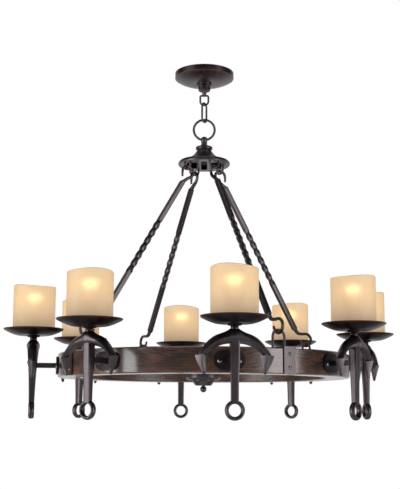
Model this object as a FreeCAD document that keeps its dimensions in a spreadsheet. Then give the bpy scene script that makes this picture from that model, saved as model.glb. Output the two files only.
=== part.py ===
"""Wagon wheel chandelier: a wooden wheel hung by four twisted rods from a bell-shaped crown.

Millimetres, +Z up. The origin is the middle of the crossbar's top face, on the ceiling plane.
The four rods hang along +X, +Y, -X and -Y. The eight lights stand between them.
"""
import FreeCAD, Part
import math
import os
import Sketcher
from FreeCAD import Placement, Rotation, Vector

# ---------------------------------------------------------------- driving sizes

SIZES = {
    # ceiling canopy
    "canopy_radius": 76.2,
    "canopy_band": 14.0,
    "canopy_height": 29.0,
    "canopy_wall": 1.2,
    "canopy_flat_radius": 22.0,
    "canopy_dome_radius": 95.0,
    "crossbar_length": 108.0,
    "crossbar_width": 22.0,
    "crossbar_thickness": 2.5,
    "box_screw_spacing": 89.0,
    "slot_width": 5.0,
    "slot_length": 12.0,
    "stem_radius": 4.8,
    "locknut_flats": 14.0,
    "locknut_height": 4.0,
    # collar and fixed loop
    "collar_radius": 15.5,
    "collar_bore_radius": 13.4,
    "collar_height": 18.0,
    "collar_lip": 1.5,
    "collar_flange_radius": 19.3,
    "collar_flange_height": 4.5,
    "collar_flute_count": 24.0,
    "collar_flute_radius": 0.9,
    "loop_body_radius": 12.6,
    "loop_body_rise": 2.0,
    "loop_body_height": 19.0,
    "loop_neck_radius": 6.8,
    "loop_neck_bottom": 57.5,
    "loop_wire": 5.0,
    "loop_outer_width": 26.0,
    "loop_bottom": 88.0,
    # chain link, ring and eye
    "link_wire": 5.0,
    "link_outer_width": 25.6,
    "link_outer_length": 55.6,
    "link_turn": 57.0,
    "ring_outer_radius": 30.0,
    "ring_wire": 6.0,
    "crown_turn": -31.4,
    "hang_gap": 0.3,
    "eye_ball_radius": 9.7,
    "eye_bore_radius": 4.0,
    "eye_mouth_radius": 6.8,
    "eye_stem_radius": 8.75,
    "eye_tenon_radius": 5.0,
    "eye_tenon_end": 2.0,
    # crown
    "crown_top": 197.5,
    "crown_flange_radius": 21.6,
    "crown_flange_height": 7.6,
    "crown_neck_radius": 18.4,
    "crown_waist": 207.5,
    "crown_shoulder_radius": 62.0,
    "crown_shoulder": 236.0,
    "crown_sweep_radius": 58.0,
    "crown_rim_radius": 66.8,
    "crown_rim_bend": 9.0,
    "crown_web": 9.0,
    "crown_bottom": 247.0,
    "crown_wall": 4.0,
    "crown_plate_thickness": 2.5,
    "crown_bar_width": 36.0,
    "crown_window_width": 26.0,
    "crown_window_length": 64.0,
    "crown_slot_width": 16.0,
    "crown_slot_length": 90.0,
    "crown_nut_flats": 19.0,
    "crown_nut_height": 7.0,
    "crown_loop_radius": 49.0,
    "crown_loop_width": 31.0,
    "crown_loop_wire": 5.0,
    "crown_loop_drop": 15.0,
    "crown_loop_corner": 9.0,
    # hanger rods
    "rod_square": 12.0,
    "rod_head_reach": 14.0,
    "rod_head_drop": 34.0,
    "rod_foot_inset": 36.0,
    "rod_foot_rise": 35.0,
    "rod_twist_share": 0.38,
    "rod_plain_share": 0.30,
    "rod_quarter_turns": 7.0,
    "hook_thickness": 6.4,
    "hook_tip": 4.2,
    "upper_hook_lead": 12.0,
    "upper_hook_rise": 7.5,
    "lower_hook_lead": 8.0,
    "lower_hook_reach": 19.0,
    "lower_hook_drop": 10.5,
    "horn_length": 12.0,
    "upper_hook_radius": 15.0,
    "lower_hook_radius": 16.0,
    # wheel rim
    "rim_outer_radius": 359.0,
    "rim_section": 57.0,
    "rim_under_arm": 28.0,
    "rim_chamfer": 2.5,
    "felloe_gap": 0.4,
    "strap_width": 30.0,
    "strap_thickness": 3.0,
    "strap_reach": 48.0,
    "rim_loop_inset": 39.0,
    "rim_loop_width": 38.0,
    "rim_loop_wire": 6.0,
    "rim_loop_height": 42.0,
    "rim_loop_corner": 12.0,
    "rivet_radius": 4.6,
    "rivet_height": 2.4,
    "rivet_spacing": 30.0,
    # arms and hub; the arms' middle line sets the height of the whole wheel
    "arm_drop": 762.0,
    "arm_tube": 12.0,
    "tube_fit": 0.3,
    "plate_length": 68.0,
    "plate_height": 42.0,
    "plate_thickness": 4.0,
    "plate_screw_spacing": 44.0,
    "plate_screw_drop": 3.0,
    "hub_radius": 43.0,
    "hub_height": 62.0,
    "hub_under_arm": 32.0,
    "hub_round": 7.0,
    "hub_socket_depth": 14.0,
    "cap_radius": 28.0,
    "cap_height": 13.5,
    "cap_end_radius": 19.5,
    "finial_radius": 8.0,
    "finial_neck_radius": 4.0,
    "finial_neck_length": 0.6,
    # anchors
    "light_radius": 419.0,
    "anchor_over_arm": 54.0,
    "anchor_thickness": 24.0,
    "anchor_depth": 32.0,
    "anchor_sweep_radius": 68.0,
    "anchor_end_radius": 77.0,
    "anchor_sweep_angle": 66.0,
    "anchor_end_thickness": 16.5,
    "anchor_end_depth": 20.0,
    "fluke_width": 30.0,
    "fluke_depth": 24.0,
    "fluke_length": 33.5,
    "fluke_back": 5.0,
    "fluke_inset": 1.5,
    "fluke_lean": 4.0,
    "fluke_point": 0.6,
    "neck_flare_width": 68.0,
    "neck_flare_depth": 26.0,
    "neck_flare_drop": 10.0,
    "shank_top_width": 20.0,
    "shank_top_depth": 22.0,
    "shank_arm_width": 20.0,
    "shank_arm_depth": 20.0,
    "shank_taper_drop": 35.0,
    "shank_taper_width": 16.5,
    "shank_taper_depth": 17.0,
    "shank_bevel": 2.4,
    "shank_seat": 9.0,
    "shank_end_width": 16.0,
    "shank_end_depth": 13.5,
    "shackle_radius": 21.0,
    "shackle_hole_radius": 13.0,
    "shackle_depth": 14.0,
    "anchor_under_arm": 127.5,
    "neck_radius": 8.5,
    # drip pans, shades and lamps
    "pan_over_arm": 68.0,
    "pan_boss_radius": 14.0,
    "pan_boss_height": 6.0,
    "pan_floor_radius": 36.0,
    "pan_radius": 73.0,
    "pan_height": 21.0,
    "pan_wall": 2.0,
    "pan_sweep": 90.0,
    "shade_radius": 51.0,
    "shade_wall": 4.0,
    "shade_height": 116.5,
    "shade_hole_radius": 15.0,
    "shade_lift": 4.6,
    "nipple_radius": 4.8,
    "nipple_wall": 1.4,
    "nipple_depth": 16.0,
    "holder_radius": 13.0,
    "holder_height": 40.0,
    "holder_bore_radius": 7.2,
    "holder_bore_depth": 20.0,
    "holder_lip": 2.0,
    "holder_ring_radius": 20.0,
    "holder_ring_height": 3.0,
    "lamp_radius": 17.5,
    "lamp_height": 55.0,
    "lamp_cap_radius": 6.9,
    "lamp_cap_length": 16.0,
    "lamp_sweep": 60.0,
    "seat_gap": 0.2,
}

RODS = 4
LIGHTS = 8
HOOK_SECTIONS = 18
ARM_SECTIONS = 6
TWIST_STEPS = 4
LOOP_CORNER = 0.7
UPPER_SHOULDER = 0.3
LOWER_SHOULDER = 0.25
HORN_START = 0.82
ARM_SPREAD = 1.5
ROD_ANGLES = [360.0 / RODS * k for k in range(RODS)]
LIGHT_ANGLES = [360.0 / LIGHTS * (k + 0.5) for k in range(LIGHTS)]

document = FreeCAD.newDocument("wagon_wheel_chandelier")
sheet = document.addObject("Spreadsheet::Sheet", "Sizes")
for row, (size_name, size_value) in enumerate(SIZES.items(), start=1):
    sheet.set(f"A{row}", size_name)
    sheet.set(f"B{row}", str(size_value))
    sheet.setAlias(f"B{row}", size_name)
document.recompute()


class Size:
    """A number together with the sheet expression that it comes from."""

    def __init__(self, value, text):
        self.value = value
        self.text = text

    def combine(self, other, sign, swap=False):
        other = other if isinstance(other, Size) else Size(float(other), repr(float(other)))
        first, second = (other, self) if swap else (self, other)
        results = {
            "+": lambda: first.value + second.value,
            "-": lambda: first.value - second.value,
            "*": lambda: first.value * second.value,
            "/": lambda: first.value / second.value,
        }
        return Size(results[sign](), f"({first.text} {sign} {second.text})")

    def __add__(self, other):
        return self.combine(other, "+")

    def __radd__(self, other):
        return self.combine(other, "+", swap=True)

    def __sub__(self, other):
        return self.combine(other, "-")

    def __rsub__(self, other):
        return self.combine(other, "-", swap=True)

    def __mul__(self, other):
        return self.combine(other, "*")

    def __rmul__(self, other):
        return self.combine(other, "*", swap=True)

    def __truediv__(self, other):
        return self.combine(other, "/")

    def __neg__(self):
        return self.combine(-1, "*")


def size(name):
    """The named size, with its expression, for features that are bound to the sheet."""
    return Size(float(sheet.get(name)), f"Sizes.{name}")


def number(name):
    """The named size as a plain number, for shapes that are worked out here."""
    return float(sheet.get(name))


def under_arm(name):
    """A drop below the ceiling that is set by its distance under the arms."""
    return size("arm_drop") + size(name)


def over_arm(name):
    """A drop below the ceiling that is set by its distance over the arms."""
    return size("arm_drop") - size(name)


def value_of(item):
    return item.value if isinstance(item, Size) else float(item)


def bind(feature, **sizes):
    """Sets a feature's properties, and binds each one that comes from the sheet."""
    for name, item in sizes.items():
        setattr(feature, name, value_of(item))
        if isinstance(item, Size):
            feature.setExpression(name, item.text)


# ---------------------------------------------------------------- sketches and bodies


def origin_feature(body, role):
    return next(item for item in body.Origin.OriginFeatures if item.Role == role)


def arc_geometry(start, end, bend):
    """An arc from start to end of radius abs(bend); a positive bend turns anticlockwise."""
    middle = (start + end) * 0.5
    chord = end - start
    rise = math.sqrt(max(bend * bend - chord.Length ** 2 / 4, 0.0))
    side = Vector(-chord.y, chord.x, 0).normalize()
    centre = middle + side * (rise if bend > 0 else -rise)
    first, last = (start, end) if bend > 0 else (end, start)
    angle_first = math.atan2(first.y - centre.y, first.x - centre.x)
    angle_last = math.atan2(last.y - centre.y, last.x - centre.x)
    if angle_last < angle_first:
        angle_last += 2 * math.pi
    circle = Part.Circle(centre, Vector(0, 0, 1), abs(bend))
    return Part.ArcOfCircle(circle, angle_first, angle_last)


def draw_outline(sketch, corners):
    """Draws a closed outline. A corner is (x, y), or (x, y, bend) when an arc leads to it."""
    places = [Vector(value_of(corner[0]), value_of(corner[1]), 0) for corner in corners]
    ends = []
    for index, corner in enumerate(corners):
        start, end = places[index - 1], places[index]
        if len(corner) == 3:
            bend = value_of(corner[2])
            edge = sketch.addGeometry(arc_geometry(start, end, bend), False)
            ends.append((edge, 1, 2) if bend > 0 else (edge, 2, 1))
        else:
            edge = sketch.addGeometry(Part.LineSegment(start, end), False)
            ends.append((edge, 1, 2))
    for index, corner in enumerate(corners):
        edge, _, last = ends[index]
        following, first, _ = ends[(index + 1) % len(corners)]
        sketch.addConstraint(Sketcher.Constraint("Coincident", edge, last, following, first))
        for kind, item in (("DistanceX", corner[0]), ("DistanceY", corner[1])):
            datum = sketch.addConstraint(
                Sketcher.Constraint(kind, -1, 1, edge, last, value_of(item)))
            if isinstance(item, Size):
                sketch.setExpression(f"Constraints[{datum}]", item.text)
        if len(corner) == 3:
            datum = sketch.addConstraint(
                Sketcher.Constraint("Radius", edge, abs(value_of(corner[2]))))
            if isinstance(corner[2], Size):
                sketch.setExpression(f"Constraints[{datum}]", f"abs({corner[2].text})")


def new_sketch(body, name, plane):
    sketch = body.newObject("Sketcher::SketchObject", name)
    sketch.AttachmentSupport = [(origin_feature(body, plane), "")]
    sketch.MapMode = "FlatFace"
    return sketch


def turned(label, corners, angle=360.0):
    """A body turned about Z from a half outline of (radius, height) corners."""
    body = document.addObject("PartDesign::Body", label)
    sketch = new_sketch(body, f"{label}_outline", "XZ_Plane")
    draw_outline(sketch, corners)
    revolution = body.newObject("PartDesign::Revolution", f"{label}_turning")
    revolution.Profile = sketch
    revolution.ReferenceAxis = (sketch, ["V_Axis"])
    bind(revolution, Angle=angle)
    body.Tip = revolution
    return body


def finished(label, shape):
    """A piece whose shape is worked out here from the sheet's sizes."""
    feature = document.addObject("Part::Feature", label)
    feature.Shape = shape
    return feature


def placed(piece, **places):
    """Moves a piece to sizes from the sheet along x, y and z."""
    for axis, item in places.items():
        if isinstance(item, Size):
            piece.setExpression(f".Placement.Base.{axis}", item.text)
        else:
            setattr(piece.Placement.Base, axis, float(item))
    return piece


def block(label, length, width, height, x, y, z):
    """A box, given its low corner."""
    box = document.addObject("Part::Box", label)
    bind(box, Length=length, Width=width, Height=height)
    return placed(box, x=x, y=y, z=z)


def round_bar(label, radius, height, x, y, z):
    """An upright cylinder, given the middle of its lower end."""
    bar = document.addObject("Part::Cylinder", label)
    bind(bar, Radius=radius, Height=height)
    return placed(bar, x=x, y=y, z=z)


def cut_from(label, base, tools):
    """The base with the tools cut away."""
    tool = tools[0]
    if len(tools) > 1:
        tool = document.addObject("Part::MultiFuse", f"{label}_cutters")
        tool.Shapes = tools
    cut = document.addObject("Part::Cut", label)
    cut.Base = base
    cut.Tool = tool
    return cut


def group(label, pieces):
    """Several separate solids kept as one sub-part."""
    compound = document.addObject("Part::Compound", label)
    compound.Links = pieces
    return compound


def at_light(piece, angle):
    """Carries a piece made on the Z axis out to a light."""
    turn = math.radians(angle)
    piece.Placement = Placement(Vector(0, 0, 0), Rotation(Vector(0, 0, 1), angle))
    placed(piece, x=size("light_radius") * math.cos(turn), y=size("light_radius") * math.sin(turn))
    return piece


def around(shape, angles):
    """Copies of a shape turned about Z."""
    copies = []
    for angle in angles:
        copy = shape.copy()
        copy.rotate(Vector(0, 0, 0), Vector(0, 0, 1), angle)
        copies.append(copy)
    return copies


def swept_wire(path, diameter):
    """A round wire bent along a path that starts at the path's first point."""
    wire = Part.Wire(path)
    start = wire.OrderedEdges[0]
    begin = start.FirstParameter if start.Orientation == "Forward" else start.LastParameter
    direction = start.tangentAt(begin)
    circle = Part.Circle(start.valueAt(begin), direction, diameter / 2)
    profile = Part.Wire([circle.toShape()])
    return wire.makePipeShell([profile], True, False)


def in_plane(across, up):
    """A point of the XZ plane."""
    return Vector(across, 0, up)


# ---------------------------------------------------------------- ceiling canopy and loop

Z_AXIS = Vector(0, 0, 1)


def ceiling_canopy():
    radius, wall = size("canopy_radius"), size("canopy_wall")
    band, height = size("canopy_band"), size("canopy_height")
    flat, hole, dome = size("canopy_flat_radius"), size("collar_bore_radius"), size("canopy_dome_radius")
    return turned("ceiling_canopy", [
        (hole, -height),
        (flat, -height),
        (radius, -band, dome),
        (radius, 0.0),
        (radius - wall, 0.0),
        (radius - wall, -band),
        (flat, wall - height, wall - dome),
        (hole, wall - height),
    ])


def mounting_crossbar():
    length, width, thick = size("crossbar_length"), size("crossbar_width"), size("crossbar_thickness")
    through = thick * 3
    blank = block("crossbar_blank", length, width, thick, length / -2, width / -2, -thick)
    tools = [round_bar("crossbar_hole", size("stem_radius") + size("seat_gap"), through, 0, 0, thick * -2)]
    slot, run = size("slot_width"), size("slot_length") - size("slot_width")
    for side in (-1, 1):
        middle = size("box_screw_spacing") / 2 * side
        tools.append(block("slot_middle", run, slot, through, middle - run / 2, slot / -2, thick * -2))
        tools.append(round_bar("slot_end", slot / 2, through, middle - run / 2, 0, thick * -2))
        tools.append(round_bar("slot_end", slot / 2, through, middle + run / 2, 0, thick * -2))
    return cut_from("mounting_crossbar", blank, tools)


def canopy_stem():
    return round_bar("canopy_stem", size("stem_radius"), size("canopy_height") - size("loop_body_rise"),
                     0, 0, size("loop_body_rise") - size("canopy_height"))


def nut(label, flats, height, bore, top):
    """A hexagon nut whose top face is at the given height."""
    prism = document.addObject("Part::Prism", f"{label}_blank")
    prism.Polygon = 6
    bind(prism, Circumradius=flats / math.sqrt(3), Height=height)
    placed(prism, z=top - height)
    return cut_from(label, prism, [round_bar(f"{label}_bore", bore, height * 3, 0, 0, top - height * 2)])


def canopy_collar():
    """Knurled collar with a flange, screwed up under the canopy."""
    radius, bore, height = size("collar_radius"), size("collar_bore_radius"), size("collar_height")
    top = -size("canopy_height")
    lip = size("collar_lip")
    flange, drop = size("collar_flange_radius"), size("collar_flange_height")
    ring = turned("collar_ring", [
        (bore, top),
        (flange, top),
        (flange, top - drop),
        (radius, top - drop - lip),
        (radius, top - height + lip),
        (radius - lip, top - height),
        (bore, top - height),
    ])
    flutes = []
    count = int(number("collar_flute_count"))
    for index in range(count):
        turn = 2 * math.pi * index / count
        flutes.append(round_bar("flute", size("collar_flute_radius"), height - drop - lip * 2,
                                radius * math.cos(turn), radius * math.sin(turn), top - height))
    return cut_from("canopy_collar", ring, flutes)


def facing(shape, extra_turn=0.0):
    """Turns a shape made in the XZ plane to the way that the crown faces."""
    shape.rotate(Vector(0, 0, 0), Z_AXIS, number("crown_turn") + extra_turn)
    return shape


def canopy_loop():
    """Threaded body, neck and D-shaped loop in one casting."""
    top = number("loop_body_rise") - number("canopy_height")
    body_bottom = top - number("loop_body_height")
    neck_bottom = -number("loop_neck_bottom")
    body = Part.makeCylinder(number("loop_body_radius"), number("loop_body_height"), Vector(0, 0, body_bottom))
    wire = number("loop_wire")
    reach = number("loop_outer_width") / 2 - wire / 2
    low = -number("loop_bottom") + wire / 2
    high = neck_bottom - wire / 2
    neck = Part.makeCone(number("loop_neck_radius"), wire, body_bottom - high, Vector(0, 0, body_bottom),
                         Vector(0, 0, -1))
    bend = reach
    corner = wire * LOOP_CORNER
    slip = corner * (1 - math.sqrt(0.5))
    path = [
        Part.LineSegment(in_plane(reach, high - corner), in_plane(reach, low + bend)),
        Part.Arc(in_plane(reach, low + bend), in_plane(0, low), in_plane(-reach, low + bend)),
        Part.LineSegment(in_plane(-reach, low + bend), in_plane(-reach, high - corner)),
        Part.Arc(in_plane(-reach, high - corner), in_plane(slip - reach, high - slip),
                 in_plane(corner - reach, high)),
        Part.LineSegment(in_plane(corner - reach, high), in_plane(reach - corner, high)),
        Part.Arc(in_plane(reach - corner, high), in_plane(reach - slip, high - slip),
                 in_plane(reach, high - corner)),
    ]
    ring = swept_wire([edge.toShape() for edge in path], wire)
    return finished("canopy_loop", body.fuse([neck, facing(ring)]))


# ---------------------------------------------------------------- link, ring and eye


def link_top():
    """Middle of the link's top wire, hanging on the loop's bottom wire."""
    return -number("loop_bottom") + number("loop_wire") + number("hang_gap") + number("link_wire") / 2


def link_bottom():
    return link_top() - (number("link_outer_length") - number("link_wire"))


def ring_top():
    """Middle of the ring's top wire, hanging on the link's bottom wire."""
    return link_bottom() + (number("link_wire") + number("ring_wire")) / 2 + number("hang_gap")


def ring_bottom():
    return ring_top() - (2 * number("ring_outer_radius") - number("ring_wire"))


def eye_height():
    """Middle of the eye's ball, hanging on the ring's bottom wire."""
    return ring_bottom() + number("ring_wire") / 2 + number("hang_gap") - number("eye_bore_radius")


def chain_link():
    wire = number("link_wire")
    reach = (number("link_outer_width") - wire) / 2
    high, low = link_top() - reach, link_bottom() + reach
    path = [
        Part.LineSegment(in_plane(reach, high), in_plane(reach, low)),
        Part.Arc(in_plane(reach, low), in_plane(0, low - reach), in_plane(-reach, low)),
        Part.LineSegment(in_plane(-reach, low), in_plane(-reach, high)),
        Part.Arc(in_plane(-reach, high), in_plane(0, high + reach), in_plane(reach, high)),
    ]
    link = swept_wire([edge.toShape() for edge in path], wire)
    return finished("chain_link", facing(link, number("link_turn")))


def suspension_ring():
    ring = document.addObject("Part::Torus", "suspension_ring")
    bind(ring, Radius1=size("ring_outer_radius") - size("ring_wire") / 2, Radius2=size("ring_wire") / 2)
    turn = Rotation(Z_AXIS, number("crown_turn")).multiply(Rotation(Vector(1, 0, 0), 90))
    ring.Placement = Placement(Vector(0, 0, (ring_top() + ring_bottom()) / 2), turn)
    return ring


def crown_eye():
    """Turned ball with a bell-mouthed cross bore, and the tenon that goes through the crown."""
    height = eye_height()
    top = -number("crown_top")
    ball = Part.makeSphere(number("eye_ball_radius"), Vector(0, 0, height))
    stem_radius = number("eye_stem_radius")
    stem = Part.makeCone(stem_radius * 0.8, stem_radius, height - top - 5, Vector(0, 0, height - 5), Vector(0, 0, -1))
    tenon_end = top - number("crown_web") - number("crown_nut_height") - number("eye_tenon_end")
    tenon = Part.makeCylinder(number("eye_tenon_radius"), top - tenon_end, Vector(0, 0, tenon_end))
    throat, mouth = number("eye_bore_radius"), number("eye_mouth_radius")
    reach = number("eye_ball_radius") + 1
    half = [Vector(-reach, 0, 0), Vector(-reach, 0, mouth), Vector(0, 0, throat), Vector(reach, 0, mouth),
            Vector(reach, 0, 0)]
    flare = Part.Arc(half[1], half[2], half[3]).toShape()
    sides = [Part.makeLine(half[3], half[4]), Part.makeLine(half[4], half[0]), Part.makeLine(half[0], half[1])]
    bore = Part.Face(Part.Wire([flare] + sides)).revolve(Vector(0, 0, 0), Vector(1, 0, 0), 360)
    bore.translate(Vector(0, 0, height))
    return finished("crown_eye", ball.fuse([stem, tenon]).cut(facing(bore)))


# ---------------------------------------------------------------- crown


def crown_bell():
    wall, top, bottom = size("crown_wall"), -size("crown_top"), -size("crown_bottom")
    flange, neck = size("crown_flange_radius"), size("crown_neck_radius")
    waist, shoulder = -size("crown_waist"), -size("crown_shoulder")
    shoulder_radius, rim = size("crown_shoulder_radius"), size("crown_rim_radius")
    sweep, bore = size("crown_sweep_radius"), size("eye_tenon_radius") + size("seat_gap")
    web = size("crown_web")
    edge = size("crown_flange_height") / 2
    return turned("crown_bell", [
        (bore, top),
        (flange - edge / 2, top),
        (flange, top - edge / 2, -edge),
        (flange, top - edge * 1.5),
        (flange - edge / 2, top - edge * 2, -edge),
        (neck, top - edge * 2),
        (neck, waist),
        (shoulder_radius, shoulder, sweep),
        (rim, bottom + wall, -size("crown_rim_bend")),
        (rim - wall / 2, bottom),
        (rim - wall * 1.5, bottom),
        (rim - wall * 1.5, bottom + size("crown_plate_thickness") + size("seat_gap")),
        (shoulder_radius - wall * 0.8, shoulder - wall * 1.1),
        (neck - wall, waist - wall * 0.6, -(sweep + wall)),
        (neck - wall, top - web),
        (bore, top - web),
    ])


def turned_to_camera(piece):
    piece.Placement.Rotation = Rotation(Z_AXIS, number("crown_turn"))
    return piece


def crown_plate():
    """Plate that closes the bell, with a slotted bar between two windows."""
    thick, bottom = size("crown_plate_thickness"), -size("crown_bottom")
    low = bottom - thick
    radius = size("crown_rim_radius") - size("crown_wall") * 1.5 - size("seat_gap")
    disc = round_bar("crown_plate_disc", radius, thick, 0, 0, bottom)
    width, length = size("crown_window_width"), size("crown_window_length")
    slot, run = size("crown_slot_width"), size("crown_slot_length") - size("crown_slot_width")
    tools = []
    for side in (-1, 1):
        near = size("crown_bar_width") / 2 * side
        x = near if side > 0 else near - width
        tools.append(block("crown_window", width, length, thick * 3, x, length / -2, low))
        tools.append(round_bar("crown_slot_end", slot / 2, thick * 3, 0, run / 2 * side, low))
    tools.append(block("crown_slot", slot, run, thick * 3, slot / -2, run / -2, low))
    plate = cut_from("crown_plate", disc, tools)
    return turned_to_camera(plate)


def staple(radius, width, wire, bend_height, foot_height, corner):
    """A U of round wire in a plane across the radius; its bend is at bend_height."""
    reach = (width - wire) / 2
    way = 1 if foot_height > bend_height else -1
    near = bend_height + corner * way
    slip = corner * (1 - math.sqrt(0.5))
    path = [
        Part.LineSegment(Vector(radius, reach, foot_height), Vector(radius, reach, near)),
        Part.Arc(Vector(radius, reach, near), Vector(radius, reach - slip, bend_height + slip * way),
                 Vector(radius, reach - corner, bend_height)),
        Part.LineSegment(Vector(radius, reach - corner, bend_height), Vector(radius, corner - reach, bend_height)),
        Part.Arc(Vector(radius, corner - reach, bend_height), Vector(radius, slip - reach, bend_height + slip * way),
                 Vector(radius, -reach, near)),
        Part.LineSegment(Vector(radius, -reach, near), Vector(radius, -reach, foot_height)),
    ]
    return swept_wire([edge.toShape() for edge in path], wire)


def crown_loop_height():
    """Middle of the bottom wire of the loops under the crown."""
    return -number("crown_bottom") - number("crown_loop_drop")


def crown_loops():
    loop = staple(number("crown_loop_radius"), number("crown_loop_width"), number("crown_loop_wire"),
                  crown_loop_height(), -number("crown_bottom"), number("crown_loop_corner"))
    return finished("crown_loops", Part.makeCompound(around(loop, ROD_ANGLES)))


# ---------------------------------------------------------------- hanger rods


def square_section(place, along, width, turn=0.0):
    """A square wire across a path that lies in the XZ plane."""
    side = Vector(0, 1, 0)
    normal = along.cross(side).normalize()
    corners = []
    for index in range(4):
        angle = math.radians(45 + 90 * index + turn)
        reach = width / math.sqrt(2)
        corners.append(place + side * (reach * math.cos(angle)) + normal * (reach * math.sin(angle)))
    return Part.makePolygon(corners + corners[:1])


def drawn_out(points, direction, bar, shoulder, neck):
    """Sections along a smooth curve: drawn down from the bar, then tapered to the tip."""
    thickness, tip = number("hook_thickness"), number("hook_tip")
    curve = Part.BSplineCurve()
    curve.interpolate(Points=points, InitialTangent=direction, FinalTangent=(points[-1] - points[-2]).normalize())
    sections = [square_section(points[0], direction, bar)]
    count = HOOK_SECTIONS
    for index in range(1, count + 1):
        share = index / count
        parameter = curve.FirstParameter + (curve.LastParameter - curve.FirstParameter) * share
        width = thickness
        if share < shoulder:
            width = bar + (thickness - bar) * share / shoulder
        elif share > neck:
            width = thickness + (tip - thickness) * (share - neck) / (1 - neck)
        sections.append(square_section(curve.value(parameter), curve.tangent(parameter)[0], width))
    return Part.makeLoft(sections, True, False)


def on_circle(centre, radius, angle):
    turn = math.radians(angle)
    return Vector(centre.x + radius * math.cos(turn), 0, centre.z + radius * math.sin(turn))


def rod_ends():
    """Where the straight bar begins and ends, from the loops that its hooks hang in."""
    top = Vector(number("crown_loop_radius") + number("rod_head_reach"), 0,
                 crown_loop_height() - number("rod_head_drop"))
    bottom = Vector(rim_loop_radius() - number("rod_foot_inset"), 0, rim_loop_height() + number("rod_foot_rise"))
    return top, bottom


def upper_hook(top, direction):
    """From the bar's top, in under the crown, and over the crown's loop to a short horn."""
    radius, lead, rise = number("upper_hook_radius"), number("upper_hook_lead"), number("upper_hook_rise")
    loop = crown_loop_height() + number("crown_loop_wire") / 2
    seat = number("hang_gap") + number("hook_thickness") / 2
    centre = Vector(number("crown_loop_radius"), 0, loop + seat - radius)
    points = [top, top + Vector(-lead, 0, rise), top + Vector(-lead * 2, 0, rise * 2)]
    points += [on_circle(centre, radius, angle) for angle in range(180, -1, -30)]
    points.append(centre + Vector(radius, 0, -number("horn_length")))
    return drawn_out(points, direction, number("rod_square"), UPPER_SHOULDER, HORN_START)


def lower_hook(bottom, direction):
    """From the bar's foot, out over the rim, and round under the rim's loop."""
    radius, lead = number("lower_hook_radius"), number("lower_hook_lead")
    reach, drop = number("lower_hook_reach"), number("lower_hook_drop")
    loop = rim_loop_height() - number("rim_loop_wire") / 2
    seat = number("hang_gap") + number("hook_thickness") / 2
    centre = Vector(rim_loop_radius(), 0, loop - seat + radius)
    points = [bottom, bottom + Vector(lead, 0, -lead), bottom + Vector(reach, 0, -drop)]
    points += [on_circle(centre, radius, angle) for angle in range(90, -151, -30)]
    points.append(points[-1] + Vector(-radius / 3, 0, radius / 2))
    return drawn_out(points, direction, number("rod_square"), LOWER_SHOULDER, HORN_START)


def hanger_rod():
    """Square bar with a twisted middle, and each end drawn out to a round hook."""
    bar = number("rod_square")
    top, bottom = rod_ends()
    down = (bottom - top).normalize()
    length = (bottom - top).Length
    plain, twist = number("rod_plain_share") * length, number("rod_twist_share") * length
    turns = number("rod_quarter_turns")
    steps = int(turns * TWIST_STEPS)
    middle = [square_section(top + down * (plain + twist * step / steps), down, bar, 90 * turns * step / steps)
              for step in range(steps + 1)]
    plain_top = Part.makeLoft([square_section(top, down, bar), middle[0]], True, True)
    plain_bottom = Part.makeLoft([middle[-1], square_section(bottom, down, bar)], True, True)
    twisted = Part.makeLoft(middle, True, False)
    return plain_top.fuse([twisted, plain_bottom, upper_hook(top, -down), lower_hook(bottom, down)])


# ---------------------------------------------------------------- wheel rim


def rim_top():
    return -under_arm("rim_under_arm").value + number("rim_section")


def rim_loop_height():
    """Middle of the top wire of the loops on the rim."""
    return rim_top() + number("strap_thickness") + number("rim_loop_height") - number("rim_loop_wire") / 2


def rim_loop_radius():
    return number("rim_outer_radius") - number("rim_loop_inset")


def tube_holes(label, extra):
    """Square cutters along the arms, a named clearance wider than the tubes."""
    cutters = []
    width = size("arm_tube") + extra * 2
    for angle in LIGHT_ANGLES:
        cutter = document.addObject("Part::Box", f"{label}_tube_hole")
        bind(cutter, Length=size("light_radius"), Width=width, Height=width)
        turn = math.radians(angle)
        cutter.Placement = Placement(Vector(0, 0, 0), Rotation(Z_AXIS, angle))
        placed(cutter, x=width / 2 * math.sin(turn), y=width / -2 * math.cos(turn),
               z=-size("arm_drop") - width / 2)
        cutters.append(cutter)
    return cutters


def felloe(index, angle):
    """A quarter of the wooden rim, with holes for the two arms that pass through it."""
    outer, section, chamfer = size("rim_outer_radius"), size("rim_section"), size("rim_chamfer")
    low = -under_arm("rim_under_arm")
    high, inner = low + section, outer - section
    gap = math.degrees(number("felloe_gap") / number("rim_outer_radius"))
    body = turned(f"felloe_blank_{index}", [
        (inner + chamfer, low), (outer - chamfer, low), (outer, low + chamfer), (outer, high - chamfer),
        (outer - chamfer, high), (inner + chamfer, high), (inner, high - chamfer), (inner, low + chamfer),
    ], 90 - gap)
    body.Placement = Placement(Vector(0, 0, 0), Rotation(Z_AXIS, angle + gap / 2))
    near = [cutter for cutter, light in zip(tube_holes(f"felloe_{index}", size("tube_fit")), LIGHT_ANGLES)
            if angle < light < angle + 90]
    return cut_from(f"rim_felloe_{index}", body, near)


def rim_straps():
    """Iron straps over the felloe joints: down the outside and across the top."""
    outer, thick = size("rim_outer_radius") + size("seat_gap"), size("strap_thickness")
    low, top = -under_arm("rim_under_arm"), size("rim_section") - under_arm("rim_under_arm")
    spread = math.degrees(number("strap_width") / number("rim_outer_radius"))
    straps = []
    for index, angle in enumerate(ROD_ANGLES, start=1):
        strap = turned(f"strap_{index}", [
            (outer, low), (outer + thick, low), (outer + thick, top + thick),
            (outer - size("strap_reach"), top + thick), (outer - size("strap_reach"), top), (outer, top),
        ], spread)
        strap.Placement = Placement(Vector(0, 0, 0), Rotation(Z_AXIS, angle - spread / 2))
        straps.append(strap)
    return group("rim_straps", straps)


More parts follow.
